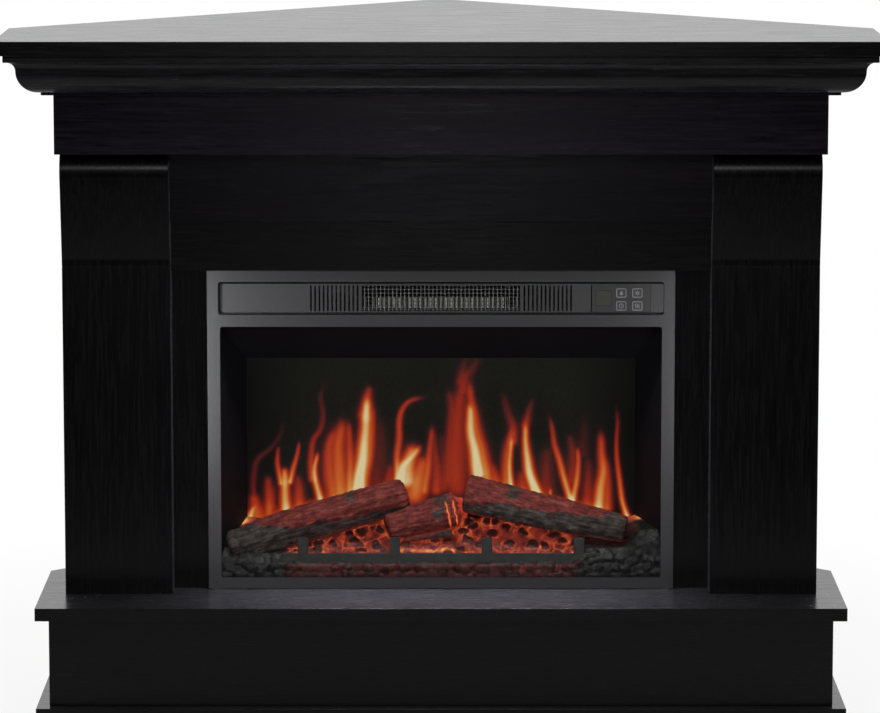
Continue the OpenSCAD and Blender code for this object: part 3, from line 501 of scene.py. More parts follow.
frontLooks = {     # finish, slot, eased edge in mm, segments
    "insert_frame": ("satinFrame", "grey_frame", 1.4, 3),
    "vent_fascia": ("stripPlastic", "black_plastic", 0.35, 2),
    "control_panel": ("panelPlastic", "black_plastic", 0.2, 2),
    "receiver_window": ("receiverLens", "receiver_lens", 0.2, 2),
    "grate_bar": ("barIron", "grate_black", 0.6, 2),
}
for keyName in ("flame_button", "dimmer_button", "timer_button", "heat_button"):
    frontLooks[keyName] = ("panelPlastic", "button_plastic", 0.15, 2)
warps = {     # the strip stands clear of the frame all round; the frame's lower bar is a little thinner
    "vent_fascia": {"front": -266, "x": [(-311.5, 6.3), (-300, 0), (212.5, 0), (213.2, -1.2), (214, 0)],
                    "z": [(557.5, 1.8), (558.2, 1.6), (560.5, 0.7), (561.6, 0), (594.6, 0), (598.5, -0.7),
                          (600.8, -2.1), (602.7, -2.5)]},
    "insert_frame": {"front": 0, "z": [(170, 0), (179, -2.4), (184, -2.4), (200, 0)]},
    "grate_bar": {"front": 0, "z": [(195, 0), (207, 1.6), (228, 3.4)]},
}
warps["control_panel"] = {"front": -266, "z": warps["vent_fascia"]["z"]}


def buildFront():
    for name, (look, slot, edge, segments) in frontLooks.items():
        piece = easedCopy(name, edge, segments, warp=warps.get(name))
        dress(piece, made[look], bodyOf(name), [name])
        if name != "grate_bar":
            linked["insert"].objects.link(piece)
    print("front ready")


buildFront()


# ---- sculpting: a grid becomes a rolled or laid sheet, and its points are moved in bulk

def sheetGrid(name, columns, rows):
    deselectAll()
    bpy.ops.mesh.primitive_grid_add(x_subdivisions=columns, y_subdivisions=rows, size=1)
    piece = bpy.context.object
    piece.name = name
    points = np.empty(len(piece.data.vertices) * 3)
    piece.data.vertices.foreach_get("co", points)
    points = points.reshape(-1, 3)
    return piece, points[:, 0] + 0.5, points[:, 1] + 0.5


def movePoints(piece, points):
    piece.data.vertices.foreach_set("co", (points * mm).ravel())
    piece.data.update()


def paint(piece, name, values):
    layer = piece.data.attributes.new(name, "FLOAT", "POINT")
    layer.data.foreach_set("value", np.asarray(values, dtype=np.float32))


def closeUp(piece):
    editMode(piece)
    bpy.ops.mesh.remove_doubles(threshold=0.02 * mm)
    bpy.ops.mesh.normals_make_consistent(inside=False)
    objectMode()


def drawRim(piece, **push):     # the rim of a sheet is drawn out
    editMode(piece, "DESELECT")
    bpy.ops.mesh.select_non_manifold()
    bpy.ops.mesh.extrude_region_move(**push)


def fillRim():     # and closed by one face
    bpy.ops.mesh.edge_face_add()
    bpy.ops.mesh.select_all(action="SELECT")
    bpy.ops.mesh.normals_make_consistent(inside=False)
    objectMode()


def waves(points, seed, size, octaves=3):     # smooth noise between about -1 and 1, of a size in mm
    draw = np.random.default_rng(seed)
    total = np.zeros(len(points))
    for octave in range(octaves):
        for turn in range(7):
            way = draw.normal(size=points.shape[1])
            way *= 2 * math.pi * 1.9 ** octave / (size * np.linalg.norm(way))
            total += np.sin(points @ way + draw.uniform(0, 2 * math.pi)) / 1.7 ** octave
    return total / 3.2


def cells(points, seeds):     # distances to the two nearest seeds, and which is the nearest
    found = []
    for start in range(0, len(points), 8000):
        distance = np.linalg.norm(points[start:start + 8000, None, :] - seeds, axis=2)
        pair = np.sort(np.partition(distance, 1, axis=1)[:, :2], axis=1)
        found.append((*pair.T, distance.argmin(axis=1)))
    return [np.concatenate(part) for part in zip(*found)]


def softStep(value, low, high):
    share = np.clip((value - low) / (high - low), 0, 1)
    return share * share * (3 - 2 * share)


def bell(value, width, centre=0):
    return np.exp(-((value - centre) / width) ** 2)


def scaled(start, spread, share):
    return start + spread * share


def mound(distance, size):
    return np.clip(1 - (distance / size) ** 2, 0, 1) ** 0.6


def tone(red, green, blue):     # a colour as it looks on screen, 0 to 255
    return tuple(((v / 255 + 0.055) / 1.055) ** 2.4 if v > 10 else v / 3294.6 for v in (red, green, blue))


def smoothCourse(points, samples):     # a curve through given points
    points = np.array([points[0], *points, points[-1]], dtype=float)
    share = np.linspace(0, 1, samples, endpoint=False)[:, None]
    out = []
    for a, b, c, d in zip(points, points[1:], points[2:], points[3:]):
        out.append(0.5 * (2 * b + (c - a) * share + (2 * a - 5 * b + 4 * c - d) * share ** 2
                          + (3 * b - a - 3 * c + d) * share ** 3))
    return np.vstack(out + [points[-1:]])


# ---- heater: a folded ribbon of alloy between two thin rails

heater = {
    "half": 88.5, "low": 564.0, "height": 14.2, "front": -256.3, "depth": 9.0, "pitch": 7.4,
    "thickness": 0.35, "rails": (563.6, 578.4), "railHalf": 122.5, "railY": -250.0, "railSize": (6.0, 1.2),
    "pins": (-107, -95, 95, 107), "pinSize": (1.6, 4.0),
}


def barPiece(name, low, high):     # an eased bar between two corners, in mm
    deselectAll()
    bpy.ops.mesh.primitive_cube_add(size=1, location=[(a + b) / 2 * mm for a, b in zip(low, high)])
    piece = bpy.context.object
    piece.name = name
    piece.scale = [(b - a) * mm for a, b in zip(low, high)]
    pick(piece)
    bpy.ops.object.transform_apply(location=True, rotation=True, scale=True)
    applyModifier(piece, "BEVEL", width=0.2 * mm, segments=2)
    piece.data.materials.append(made["heaterFrame"])
    return piece


def buildHeater():
    look = heater
    folds = round(2 * look["half"] / look["pitch"])
    piece, along, up = sheetGrid("heatingElement", folds * 4, 2)
    wave = np.abs((along * folds) % 1 - 0.5) * 2
    deep = look["front"] + look["depth"] * (1 - softStep(wave, 0, 1))
    wide, tall = (along * 2 - 1) * look["half"], look["low"] + up * look["height"]
    movePoints(piece, np.stack([wide, deep, tall], axis=1))
    closeUp(piece)
    applyModifier(piece, "SOLIDIFY", thickness=look["thickness"] * mm, offset=0)
    piece.data.materials.append(made["heaterAlloy"])
    half, y = look["railHalf"], look["railY"]
    (lowRail, highRail), (railDeep, railThick) = look["rails"], look["railSize"]
    pinWide, pinDeep = look["pinSize"]
    bars = [barPiece("rail", (-half, y - railDeep / 2, z - railThick / 2),
                     (half, y + railDeep / 2, z + railThick / 2)) for z in (lowRail, highRail)]
    bars += [barPiece("pin", (x - pinWide / 2, y - pinDeep / 2, lowRail),
                      (x + pinWide / 2, y + pinDeep / 2, highRail)) for x in look["pins"]]
    joinPieces([piece] + bars, "heatingElement")
    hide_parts("heating_element")
    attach(piece, bodyOf("heating_element"))
    linked["grille"].objects.link(piece)
    linked["grille"].objects.link(nodes["vent_guard"])
    print("heater ready")


buildHeater()


# ---- symbols printed on the four keys, as flat strokes

def circle(radius, steps):
    return [(radius * math.cos(turn), radius * math.sin(turn)) for turn in np.linspace(0, 2 * math.pi, steps)]


symbols = {     # each stroke is a course in mm and its width, or its widths
    "half": (6.6, 6.0), "corner": 1.6, "outline": 1.15, "thickness": 0.12, "proud": 0.05,
    "keys": {
        "flame_button": [([(0.0, -2.9), (0.0, -1.4), (0.1, 0.2), (0.3, 1.6), (0.9, 3.4)],
                          (3.4, 4.8, 3.6, 1.9, 0.3))],
        "dimmer_button": [(circle(1.5, 17), 1.3)]
        + [(list(ray), 0.75) for ray in list(zip(circle(2.9, 9), circle(3.9, 9)))[:8]],
        "timer_button": [(circle(3.1, 25), 0.9), ([(0, 2.0), (0, 0), (1.5, -0.9)], 0.85)],
        "heat_button": [([(x + 0.55 * math.sin(s * 6.6), -3.1 + s * 6.2) for s in np.linspace(0, 1, 13)],
                         0.95) for x in (-2.3, 0.0, 2.3)],
    },
}


def printStroke(course, width, y):
    path = np.array(course, dtype=float)
    width = np.broadcast_to(width, len(path))
    if np.allclose(path[0], path[-1]):     # a closed course
        way = np.roll(path[:-1], -1, axis=0) - np.roll(path[:-1], 1, axis=0)
        way = np.vstack([way, way[:1]])
    else:
        way = np.gradient(path, axis=0)
    way /= np.linalg.norm(way, axis=1)[:, None]
    across = np.stack([-way[:, 1], way[:, 0]], axis=1)
    piece, along, side = sheetGrid("stroke", len(path) - 1, 1)
    step = np.rint(along * (len(path) - 1)).astype(int)
    flat = path[step] + across[step] * ((side - 0.5) * width[step])[:, None]
    movePoints(piece, np.stack([flat[:, 0], np.full(len(flat), y), flat[:, 1]], axis=1))
    closeUp(piece)
    applyModifier(piece, "SOLIDIFY", thickness=symbols["thickness"] * mm, offset=0)
    return piece


def roundedSquare(half, corner):
    course = []
    for quarter, (signX, signZ) in enumerate(((1, 1), (-1, 1), (-1, -1), (1, -1))):
        for turn in np.linspace(quarter, quarter + 1, 5) * math.pi / 2:
            course.append((signX * (half[0] - corner) + corner * math.cos(turn),
                           signZ * (half[1] - corner) + corner * math.sin(turn)))
    return course + course[:1]


def buildSymbols():
    for name, strokes in symbols["keys"].items():
        low, high = boxOf(name)
        centre = (low + high)[[0, 2]] / 2
        y = low[1] - symbols["proud"]
        outline = roundedSquare(symbols["half"], symbols["corner"])
        parts = [printStroke(np.array(course) + centre, width, y)
                 for course, width in [(outline, symbols["outline"])] + strokes]
        piece = joinPieces(parts, camel(name).replace("Button", "Print"))
        dress(piece, made["printWhite"], bodyOf(name))
    print("symbols ready")


buildSymbols()


# ---- flame screen: tongues are strokes that widen low down and fade at the tip

flameScreen = {
    "pitch": 1.5, "waver": 1.0, "waverSize": 95, "steady": (240, 330),     # no waver below these heights
    "overlap": 0.28,     # share of the weaker tongue's heat that is added where two cross
    "spread": 1.12, "narrowing": 0.5, "tip": (0.82, 1.0), "tipFade": 0.85,
    "ramp": [(0.0, (0, 0, 0)), (0.10, (34, 7, 9)), (0.24, (84, 16, 16)), (0.38, (142, 30, 10)),
             (0.52, (176, 53, 18)), (0.66, (200, 92, 30)), (0.80, (212, 146, 70)), (1.0, (226, 208, 160))],
    # heat at the root, heat at the tip, half width in mm, then the course upward as (x, z)
    "tongues": [
        (1.05, 0.55, 6, (-279, 234), (-275, 250), (-270, 262)),
        (0.62, 0.45, 12, (-264, 240), (-267, 258), (-271, 276)),
        (0.30, 0.10, 4, (-271, 276), (-270, 308), (-264, 332), (-244, 349), (-230, 371), (-230, 388)),
        (0.55, 0.35, 8, (-250, 228), (-249, 276), (-251, 306)),
        (0.40, 0.20, 6, (-245, 262), (-242, 291)),
        (0.92, 0.72, 8, (-222, 228), (-226, 285), (-226, 319)),
        (0.72, 0.30, 4, (-232, 296), (-237, 328), (-235, 351)),
        (0.78, 0.40, 4, (-219, 298), (-210, 328), (-204, 358)),
        (0.62, 0.25, 9, (-203, 240), (-206, 287), (-207, 306)),
        (0.88, 0.66, 5, (-174, 270), (-181, 298), (-182, 319), (-176, 343)),
        (0.52, 0.12, 5, (-186, 302), (-187, 332), (-183, 358), (-174, 375), (-171, 399), (-174, 426),
         (-163, 446)),
        (0.46, 0.40, 10, (-156, 276), (-162, 308), (-162, 341), (-154, 378)),
        (0.54, 0.42, 11, (-145, 276), (-148, 319), (-147, 354), (-142, 392)),
        (0.58, 0.38, 7, (-132, 280), (-132, 319), (-132, 351), (-134, 392)),
        (0.46, 0.40, 18, (-146, 276), (-150, 330), (-146, 380)),
        (1.12, 0.72, 10, (-120, 285), (-111.5, 356), (-105, 428)),
        (0.60, 0.30, 8, (-110, 395), (-106, 420), (-103, 436)),
        (0.60, 0.40, 8, (-113, 285), (-104, 341), (-100, 379), (-98, 414)),
        (0.30, 0.12, 13, (-94, 285), (-88, 341), (-88, 392)),
        (0.42, 0.25, 8, (-76, 292), (-73, 322)),
        (0.98, 0.66, 8, (-58, 298), (-54, 319), (-43, 334), (-30, 351)),
        (0.75, 0.34, 5, (-63, 300), (-63, 316), (-60, 385), (-48, 414), (-20, 422)),
        (0.74, 0.60, 13, (-48, 300), (-47, 325), (-42, 350)),
        (0.66, 0.50, 14, (-38, 278), (-33, 306), (-26, 332)),
        (0.60, 0.34, 6, (-24, 285), (-19, 324), (-15, 354), (-12, 380)),
        (0.45, 0.20, 8, (-7, 286), (-7, 319), (-9, 351), (-14, 384)),
        (0.28, 0.12, 9, (4, 290), (5, 330), (2, 372)),
        (1.12, 0.70, 9, (53, 310), (46, 357), (40, 418)),
        (0.42, 0.38, 14, (24, 290), (24, 332), (25, 371), (25, 405), (26, 437)),
        (0.36, 0.24, 8, (10, 300), (13, 350), (15, 405), (8, 433)),
        (0.64, 0.40, 9, (66, 300), (61, 332), (55, 362), (48, 394), (42, 426), (41, 450)),
        (0.36, 0.14, 8, (30, 431), (35, 452), (45, 463), (54, 480)),
        (0.30, 0.12, 6, (26, 444), (32, 465), (37, 480)),
        (0.62, 0.30, 10, (80, 290), (73, 322)),
        (0.84, 0.60, 5, (101, 290), (100, 319), (101, 345), (102, 364)),
        (0.58, 0.40, 8, (93, 290), (95, 340), (103, 378)),
        (0.46, 0.14, 7, (104, 358), (103, 379), (96, 401), (89, 430)),
        (1.12, 0.72, 7, (139, 279), (130, 308), (125, 336), (122, 362), (121, 388)),
        (0.45, 0.12, 6, (121, 380), (126, 399), (132, 420)),
        (0.55, 0.28, 10, (118, 285), (117, 312)),
        (0.34, 0.22, 11, (153, 285), (152, 319), (154, 346)),
        (0.86, 0.30, 5, (189, 268), (179, 298), (171, 328), (164, 351), (160, 375), (155, 400)),
        (0.80, 0.45, 5, (190, 268), (196, 298), (198, 328), (196, 350)),
        (0.36, 0.22, 8, (188, 300), (189, 341), (185, 366)),
        (0.48, 0.20, 9, (211, 262), (213, 298), (213, 334)),
        (0.20, 0.08, 9, (204, 341), (208, 390)),
        (0.88, 0.46, 8, (228, 260), (231, 289), (234, 315), (232, 345), (230, 376)),
        (0.56, 0.32, 7, (241, 260), (241, 298), (238, 334)),
        (0.86, 0.22, 4, (270, 246), (262, 270), (258, 298), (254, 328), (254, 362), (255, 388), (250, 412)),
        (0.66, 0.96, 7, (266, 244), (270, 242), (277, 241)),
        (0.50, 0.45, 10, (100, 282), (133, 275), (167, 269), (207, 262), (245, 255)),
        (0.48, 0.42, 9, (-240, 250), (-200, 262), (-150, 275)),
        (0.66, 0.60, 3, (157, 276), (158, 287)),
    ],
}


def flameHeat(places):
    look = flameScreen
    bend = waves(places, 31, look["waverSize"], 2) * look["waver"]
    bend = bend * softStep(places[:, 1], *look["steady"])
    total = np.zeros(len(places))
    for rootHeat, tipHeat, width, *course in look["tongues"]:
        length = np.linalg.norm(np.subtract(course[0], course[-1]))
        line = smoothCourse(course, max(14, int(0.6 * length / (len(course) - 1))))
        share = np.linspace(0, 1, len(line))
        low, high = line.min(axis=0) - 4 * width, line.max(axis=0) + 4 * width
        inside = np.flatnonzero(np.all((places > low) & (places < high), axis=1))
        here = places[inside] + bend[inside, None] * (1, 0)
        reach = look["spread"] * width * (1.0 - look["narrowing"] * share ** 1.5)
        distance = np.linalg.norm(here[:, None, :] - line[None, :, :], axis=2) / reach
        heat = rootHeat + (tipHeat - rootHeat) * share
        heat = heat * (1 - look["tipFade"] * softStep(share, *look["tip"]))
        glow = (heat * np.exp(-distance ** 1.9 * 0.8)).max(axis=1)
        before = total[inside]
        both = look["overlap"] * np.minimum(before, glow)
        total[inside] = np.clip(np.maximum(before, glow) + both, 0, 1.1)
    return total


def screenMaterial():
    material, tree, shader = newMaterial("flameScreen", Roughness=0.55, IOR=1.3)
    grain = noise(tree, 220, 3)
    across = addNode(tree, "ShaderNodeSeparateXYZ", Vector=objectPoint(tree)).outputs["X"]
    ground = ramp(tree, grain, [(0.3, tone(44, 44, 35)), (0.7, tone(52, 52, 41))])
    # painted shade: the screen darkens toward its left and right ends, beside the chamber's sides
    fade = ramp(tree, calculate(tree, "ABSOLUTE", across), [(0.19, (1, 1, 1)), (0.282, (0.16, 0.16, 0.19))])
    feed(tree, shader, {"Base Color": mixed(tree, 1.0, ground, fade, "MULTIPLY")})
    glowing(tree, shader, attribute(tree, "blaze"), flameScreen["ramp"])
    return material


def buildScreen():
    low, high = boxOf("flame_screen")
    size = high - low
    piece, across, up = sheetGrid("flameScreen", round(size[0] / flameScreen["pitch"]),
                                  round(size[2] / flameScreen["pitch"]))
    points = low + np.stack([across, 0 * up, up], axis=1) * size
    movePoints(piece, points)
    paint(piece, "blaze", flameHeat(points[:, [0, 2]]))
    drawRim(piece, TRANSFORM_OT_translate={"value": (0, size[1] * mm, 0)})
    fillRim()
    for point, heat in zip(piece.data.vertices, piece.data.attributes["blaze"].data):
        if point.co.y > (low[1] + 0.5 * size[1]) * mm:     # no light on the rear
            heat.value = 0
    dress(piece, screenMaterial(), stands=["flame_screen"])
    print("screen:", len(piece.data.polygons), "faces")


# ---- logs: rolled sheets with bark ridges, cracks, knots and cut ends

# char: share of the height that is burnt, at the start, at a third and at the end; knots: share of the
# length, level, radius, rise; scorch: share of the length, level, radius; hem glow; belly, the embers' light
# painted as a glow on the underside
logs = {
    "left": {"node": "log_left", "start": (-296, -229, 213.5), "end": (-57, -207, 283.5), "radii": (26, 25),
             "seed": 3, "bulge": 9, "knots": [(0.70, 0.585, 10, 4.0)], "char": (1.35, 0.60, 0.28),
             "scorch": [(0.715, 0.97, 9), (0.12, 0.6, 24)], "hem": 0.10, "belly": 0.18},
    "centre": {"node": "log_centre", "start": (-74, -229, 244), "end": (31, -212, 268), "radii": (20, 24),
               "seed": 8, "bulge": 5, "char": (0.06, 0.05, 0.05), "cracks": [0.775, 0.868],
               "scorch": [(0.74, 0.97, 12), (0.65, 0.6, 7)], "hem": 0.0, "belly": 0.55, "taper": 0.42,
               "tip": 0.62},
    "right": {"node": "log_right", "start": (38, -211, 286), "end": (261, -230, 238.5), "radii": (28.5, 19),
              "seed": 15, "bulge": 4, "knots": [(0.10, 0.42, 7, 2.0)], "char": (0.43, 0.57, 0.95),
              "scorch": [(0.28, 0.93, 12), (0.93, 0.8, 16)], "hem": 0.34, "belly": 0.3},
    "twig": {"node": "", "start": (-49, -238, 226), "end": (13, -238, 235.5), "radii": (3.8, 6.2),
             "seed": 23, "bulge": 3, "char": (0.0, 0.2, 1.2), "hem": 0.0, "belly": 0.42},
}
barkShape = {     # heights in mm on a log of the plain radius
    "grid": (190, 96), "twigGrid": (60, 32), "plainRadius": 22, "endShare": 0.09, "stretch": 0.16,
    "ridge": 1.3, "ridgeSize": 13, "lump": 2.0, "lumpSize": 30, "flake": 0.5, "flakeSize": 9,
    "borderWaver": 0.06, "borderSize": 26, "tornStep": 1.8,
    "crackWidth": 1.6, "crackDepth": 2.6, "crackGlow": 0.95, "hemWidth": 0.022, "endGrooves": 0.6,
}


def logMaterial():
    material, tree, shader = newMaterial("charredLog", IOR=1.4)
    mottle = noise(tree, 70, 6, 0.65)
    fine = noise(tree, 420, 4)
    fibre = noise(tree, 0.34, 6, 0.72, attribute(tree, "ring", "Vector"))
    blended = addNode(tree, "ShaderNodeMix", {"data_type": "FLOAT"}, Factor=0.6)
    grain = feed(tree, blended, {2: mottle, 3: fibre}).outputs[0]
    bark = ramp(tree, grain, [(0.36, tone(72, 26, 28)), (0.50, tone(152, 66, 60)),
                              (0.64, tone(208, 114, 100))])
    coal = ramp(tree, grain, [(0.36, tone(42, 38, 37)), (0.50, tone(88, 78, 74)),
                              (0.66, tone(144, 132, 124))])
    edge = calculate(tree, "MULTIPLY_ADD", mottle, 0.9, attribute(tree, "char"))
    feed(tree, shader, {"Base Color": mixed(tree, span(tree, edge, 0, 1, 0.68, 1.25), bark, coal),
                        "Roughness": span(tree, fine, 0.55, 0.85, 0.3, 0.7)})
    glowing(tree, shader, attribute(tree, "glow"),
            [(0.0, (0, 0, 0)), (0.25, (70, 16, 14)), (0.55, (176, 52, 30)), (1.0, (240, 140, 60))])
    bump(tree, shader, grain, 0.8, 2.4)
    return material


def buildLog(setup, material):
    shape = barkShape
    start, end = np.array(setup["start"], float), np.array(setup["end"], float)
    length = np.linalg.norm(end - start)
    piece, along, around = sheetGrid("log", *shape["grid" if setup["node"] else "twigGrid"])
    cap = shape["endShare"]     # the outer rows of the sheet fold over the two ends
    body = np.clip((along - cap) / (1 - 2 * cap), 0, 1)
    fold = np.clip(np.maximum(cap - along, along - 1 + cap) / cap, 0, 1) * math.pi / 2
    ahead, above = np.cos(around * 2 * math.pi), np.sin(around * 2 * math.pi)     # to the camera, and up
    radius = np.interp(body, (0, 1), setup["radii"])
    radius *= 1 - setup.get("taper", 0) * softStep(body, 0.86, 1.0)
    scale = radius / shape["plainRadius"]
    plain = ahead * shape["plainRadius"], above * shape["plainRadius"]
    ring = np.stack([body * length * shape["stretch"], *plain], axis=1)     # fibres are long
    ridges = 1 - np.abs(waves(ring, setup["seed"], shape["ridgeSize"], 2))
    lumps = waves(ring * (0.5, 0.6, 0.6), setup["seed"] + 1, shape["lumpSize"], 2)
    flakes = waves(np.stack([body * length, *plain], axis=1), setup["seed"] + 2, shape["flakeSize"], 2)
    height = (shape["ridge"] * (ridges - 0.6) + shape["lump"] * lumps + shape["flake"] * flakes) * scale
    up = 0.5 + 0.5 * above     # 0 below, 1 on top
    near = ahead > 0
    waver = waves(ring, setup["seed"] + 5, shape["borderSize"], 3)
    border = np.interp(body, (0, 0.33, 1), setup["char"]) + shape["borderWaver"] * waver
    torn = softStep(up, border - 0.02, border + 0.02)
    height += shape["tornStep"] * (torn - 0.5) * scale     # bark stands proud of burnt wood
    glow, charAndKnotShade = np.zeros(len(height)), 1 - torn
    for place, level, size, rise in setup.get("knots", []):
        away = np.where(near, np.hypot((body - place) * length, (up - level) * 2 * radius), 99)
        height += rise * np.exp(-(away / size) ** 4) - rise * 0.9 * bell(away, size * 0.45)
        shade = 0.25 + 0.75 * softStep((body - place) * length / size, -0.4, 0.9)     # darker on its right
        # painted shade: a dark ring round the knot, darker on its right, is added to the char
        charAndKnotShade = np.maximum(charAndKnotShade, 0.6 * shade * bell(away + 1.5 * flakes - size * 1.15, 2.6))
        height -= 1.4 * shade * bell(away + flakes - size * 1.2, 2.4)
    for place in setup.get("cracks", []):
        line = bell((body - place) * length + 0.7 * flakes, shape["crackWidth"]) * (ahead > -0.2)
        line = line * softStep(up, 0.04, 0.16) * (1 - softStep(up, 0.84, 0.95))
        height -= shape["crackDepth"] * line
        glow = np.maximum(glow, line * shape["crackGlow"])
    # painted light: the embers' red light on each log's underside, painted as a glow
    glow = np.maximum(glow, setup["belly"] * softStep(-up, -0.16, -0.02))
    glow = np.maximum(glow, setup.get("tip", 0) * softStep(body + 0.03 * flakes, 0.89, 0.96)
                      * (0.8 + 0.2 * lumps))
    glow = np.maximum(glow, setup["hem"] * bell(up - border, shape["hemWidth"]) * near
                      * softStep(flakes, -0.3, 0.4))
    for place, level, size in setup.get("scorch", []):
        away = np.hypot((body - place) * length, (up - level) * 2 * radius) + 4 * flakes
        charAndKnotShade = np.maximum(charAndKnotShade, 0.85 * (1 - softStep(away, size * 0.3, size * 1.5)))
    tight = np.cos(fold) ** 0.55
    radius = (radius + height * softStep(tight, 0.0, 0.5)) * tight
    rim = setup["bulge"] * np.sin(fold) + shape["endGrooves"] * np.sin(fold * 14) * scale
    reach = body * length + np.where(along < 0.5, -1, 1) * rim
    axis = (end - start) / length
    side = np.cross(axis, (0, 0, 1.0))
    side /= np.linalg.norm(side)     # toward the camera
    top = np.cross(side, axis)
    movePoints(piece, start + reach[:, None] * axis + (ahead * radius)[:, None] * side
               + (above * radius)[:, None] * top)
    paint(piece, "char", charAndKnotShade)
    layer = piece.data.attributes.new("ring", "FLOAT_VECTOR", "POINT")
    layer.data.foreach_set("vector", ring.astype(np.float32).ravel())
    paint(piece, "glow", glow)
    closeUp(piece)
    smooth(piece, 60)
    return dress(piece, material, stands=[setup["node"]] if setup["node"] else [])


# ---- bed of coals: one laid sheet with a pebbled skirt in front and a heap at each end

emberBed = {
    "columns": 360, "rows": 110, "seed": 21, "cellSize": 23, "pebbleSize": 11, "stone": 7.6, "seam": 2.0,
    # profile from the floor up: foot, top of the skirt, edge behind the bar, back of the bed
    "up": (0.0, 0.24, 0.34, 1.0), "y": (-256.0, -254.2, -244.0, -169.0), "z": (171.6, 191.5, 203.0, 244.0),
    "heapY": (-256.0, -250.0, -240.0, -169.0),
    "heapZ": {"left": (171.6, 198, 214, 248), "right": (171.6, 224, 241, 250)},
    # from which x to which x the heaps grow, and how much further in each low heap reaches
    "lowHeap": (222, 244), "ends": (12, 38), "highHeap": (256, 290),
    "ridge": (-52, 16, -236, 11), "ridgeWidth": 9, "ridgeEnd": 14,     # the bed rises under the twig
    "wall": 319, "wallFront": -259.5, "wallDepth": 92, "wallLean": 40,
    # places where the tongues' feet light the rear of the bed: x, y, radius, glow
    "feet": [(291, -186, 9, 1.0), (279, -176, 12, 0.62), (-287, -182, 8, 1.0), (-279, -174, 12, 0.6)],
    "domeRise": 5.0, "stoneRise": 2.2, "roughRise": 0.9, "pebbleRise": 1.2, "skirtRise": 4.0,
    "skirtRough": 0.25, "heapRise": 2.0, "stoneShare": 0.55, "seedWidth": 640, "seedDepth": 170,
    # glow, as least and spread or as one value, and the width and place of two bright lines
    "seamGlow": (0.22, 0.42), "coalGlow": (0.27, 0.12), "ringGlow": 0.34, "streakGlow": 0.38,
    "barGlow": (0.20, 0.40), "barLine": (0.013, 0.350), "skirtTopPaintedLight": 0.11, "skirtTopLightLine": (0.025, 0.232),
}


def emberMaterial():
    material, tree, shader = newMaterial("glowingCoals", IOR=1.4)
    mottle = noise(tree, 120, 5, 0.6)
    fine = noise(tree, 600, 3)
    coal = ramp(tree, mottle, [(0.3, tone(18, 20, 20)), (0.58, tone(47, 49, 46)), (0.76, tone(98, 102, 98))])
    resin = ramp(tree, mottle, [(0.3, tone(60, 28, 28)), (0.7, tone(124, 62, 56))])
    feed(tree, shader, {"Base Color": mixed(tree, attribute(tree, "warm"), coal, resin),
                        "Roughness": span(tree, fine, 0.28, 0.6, 0.3, 0.7)})
    glowing(tree, shader, attribute(tree, "glow"),
            [(0.0, (0, 0, 0)), (0.22, (74, 22, 20)), (0.45, (146, 50, 32)), (0.72, (204, 100, 46)),
             (1.0, (240, 172, 92))])
    bump(tree, shader, fine, 0.5, 0.4)
    return material


def scatter(draw, step):     # seeds on a loose grid
    wide, deep = emberBed["seedWidth"], emberBed["seedDepth"]
    columns, rows = int(wide / step) + 1, int(deep / step) + 2
    grid = np.stack(np.meshgrid(np.arange(columns), np.arange(rows)), axis=-1).reshape(-1, 2)
    grid = grid + draw.uniform(-0.36, 0.36, grid.shape)
    grid[:, 0] += 0.5 * (np.round(grid[:, 1]) % 2)
    return grid * step - (wide / 2, step / 2)


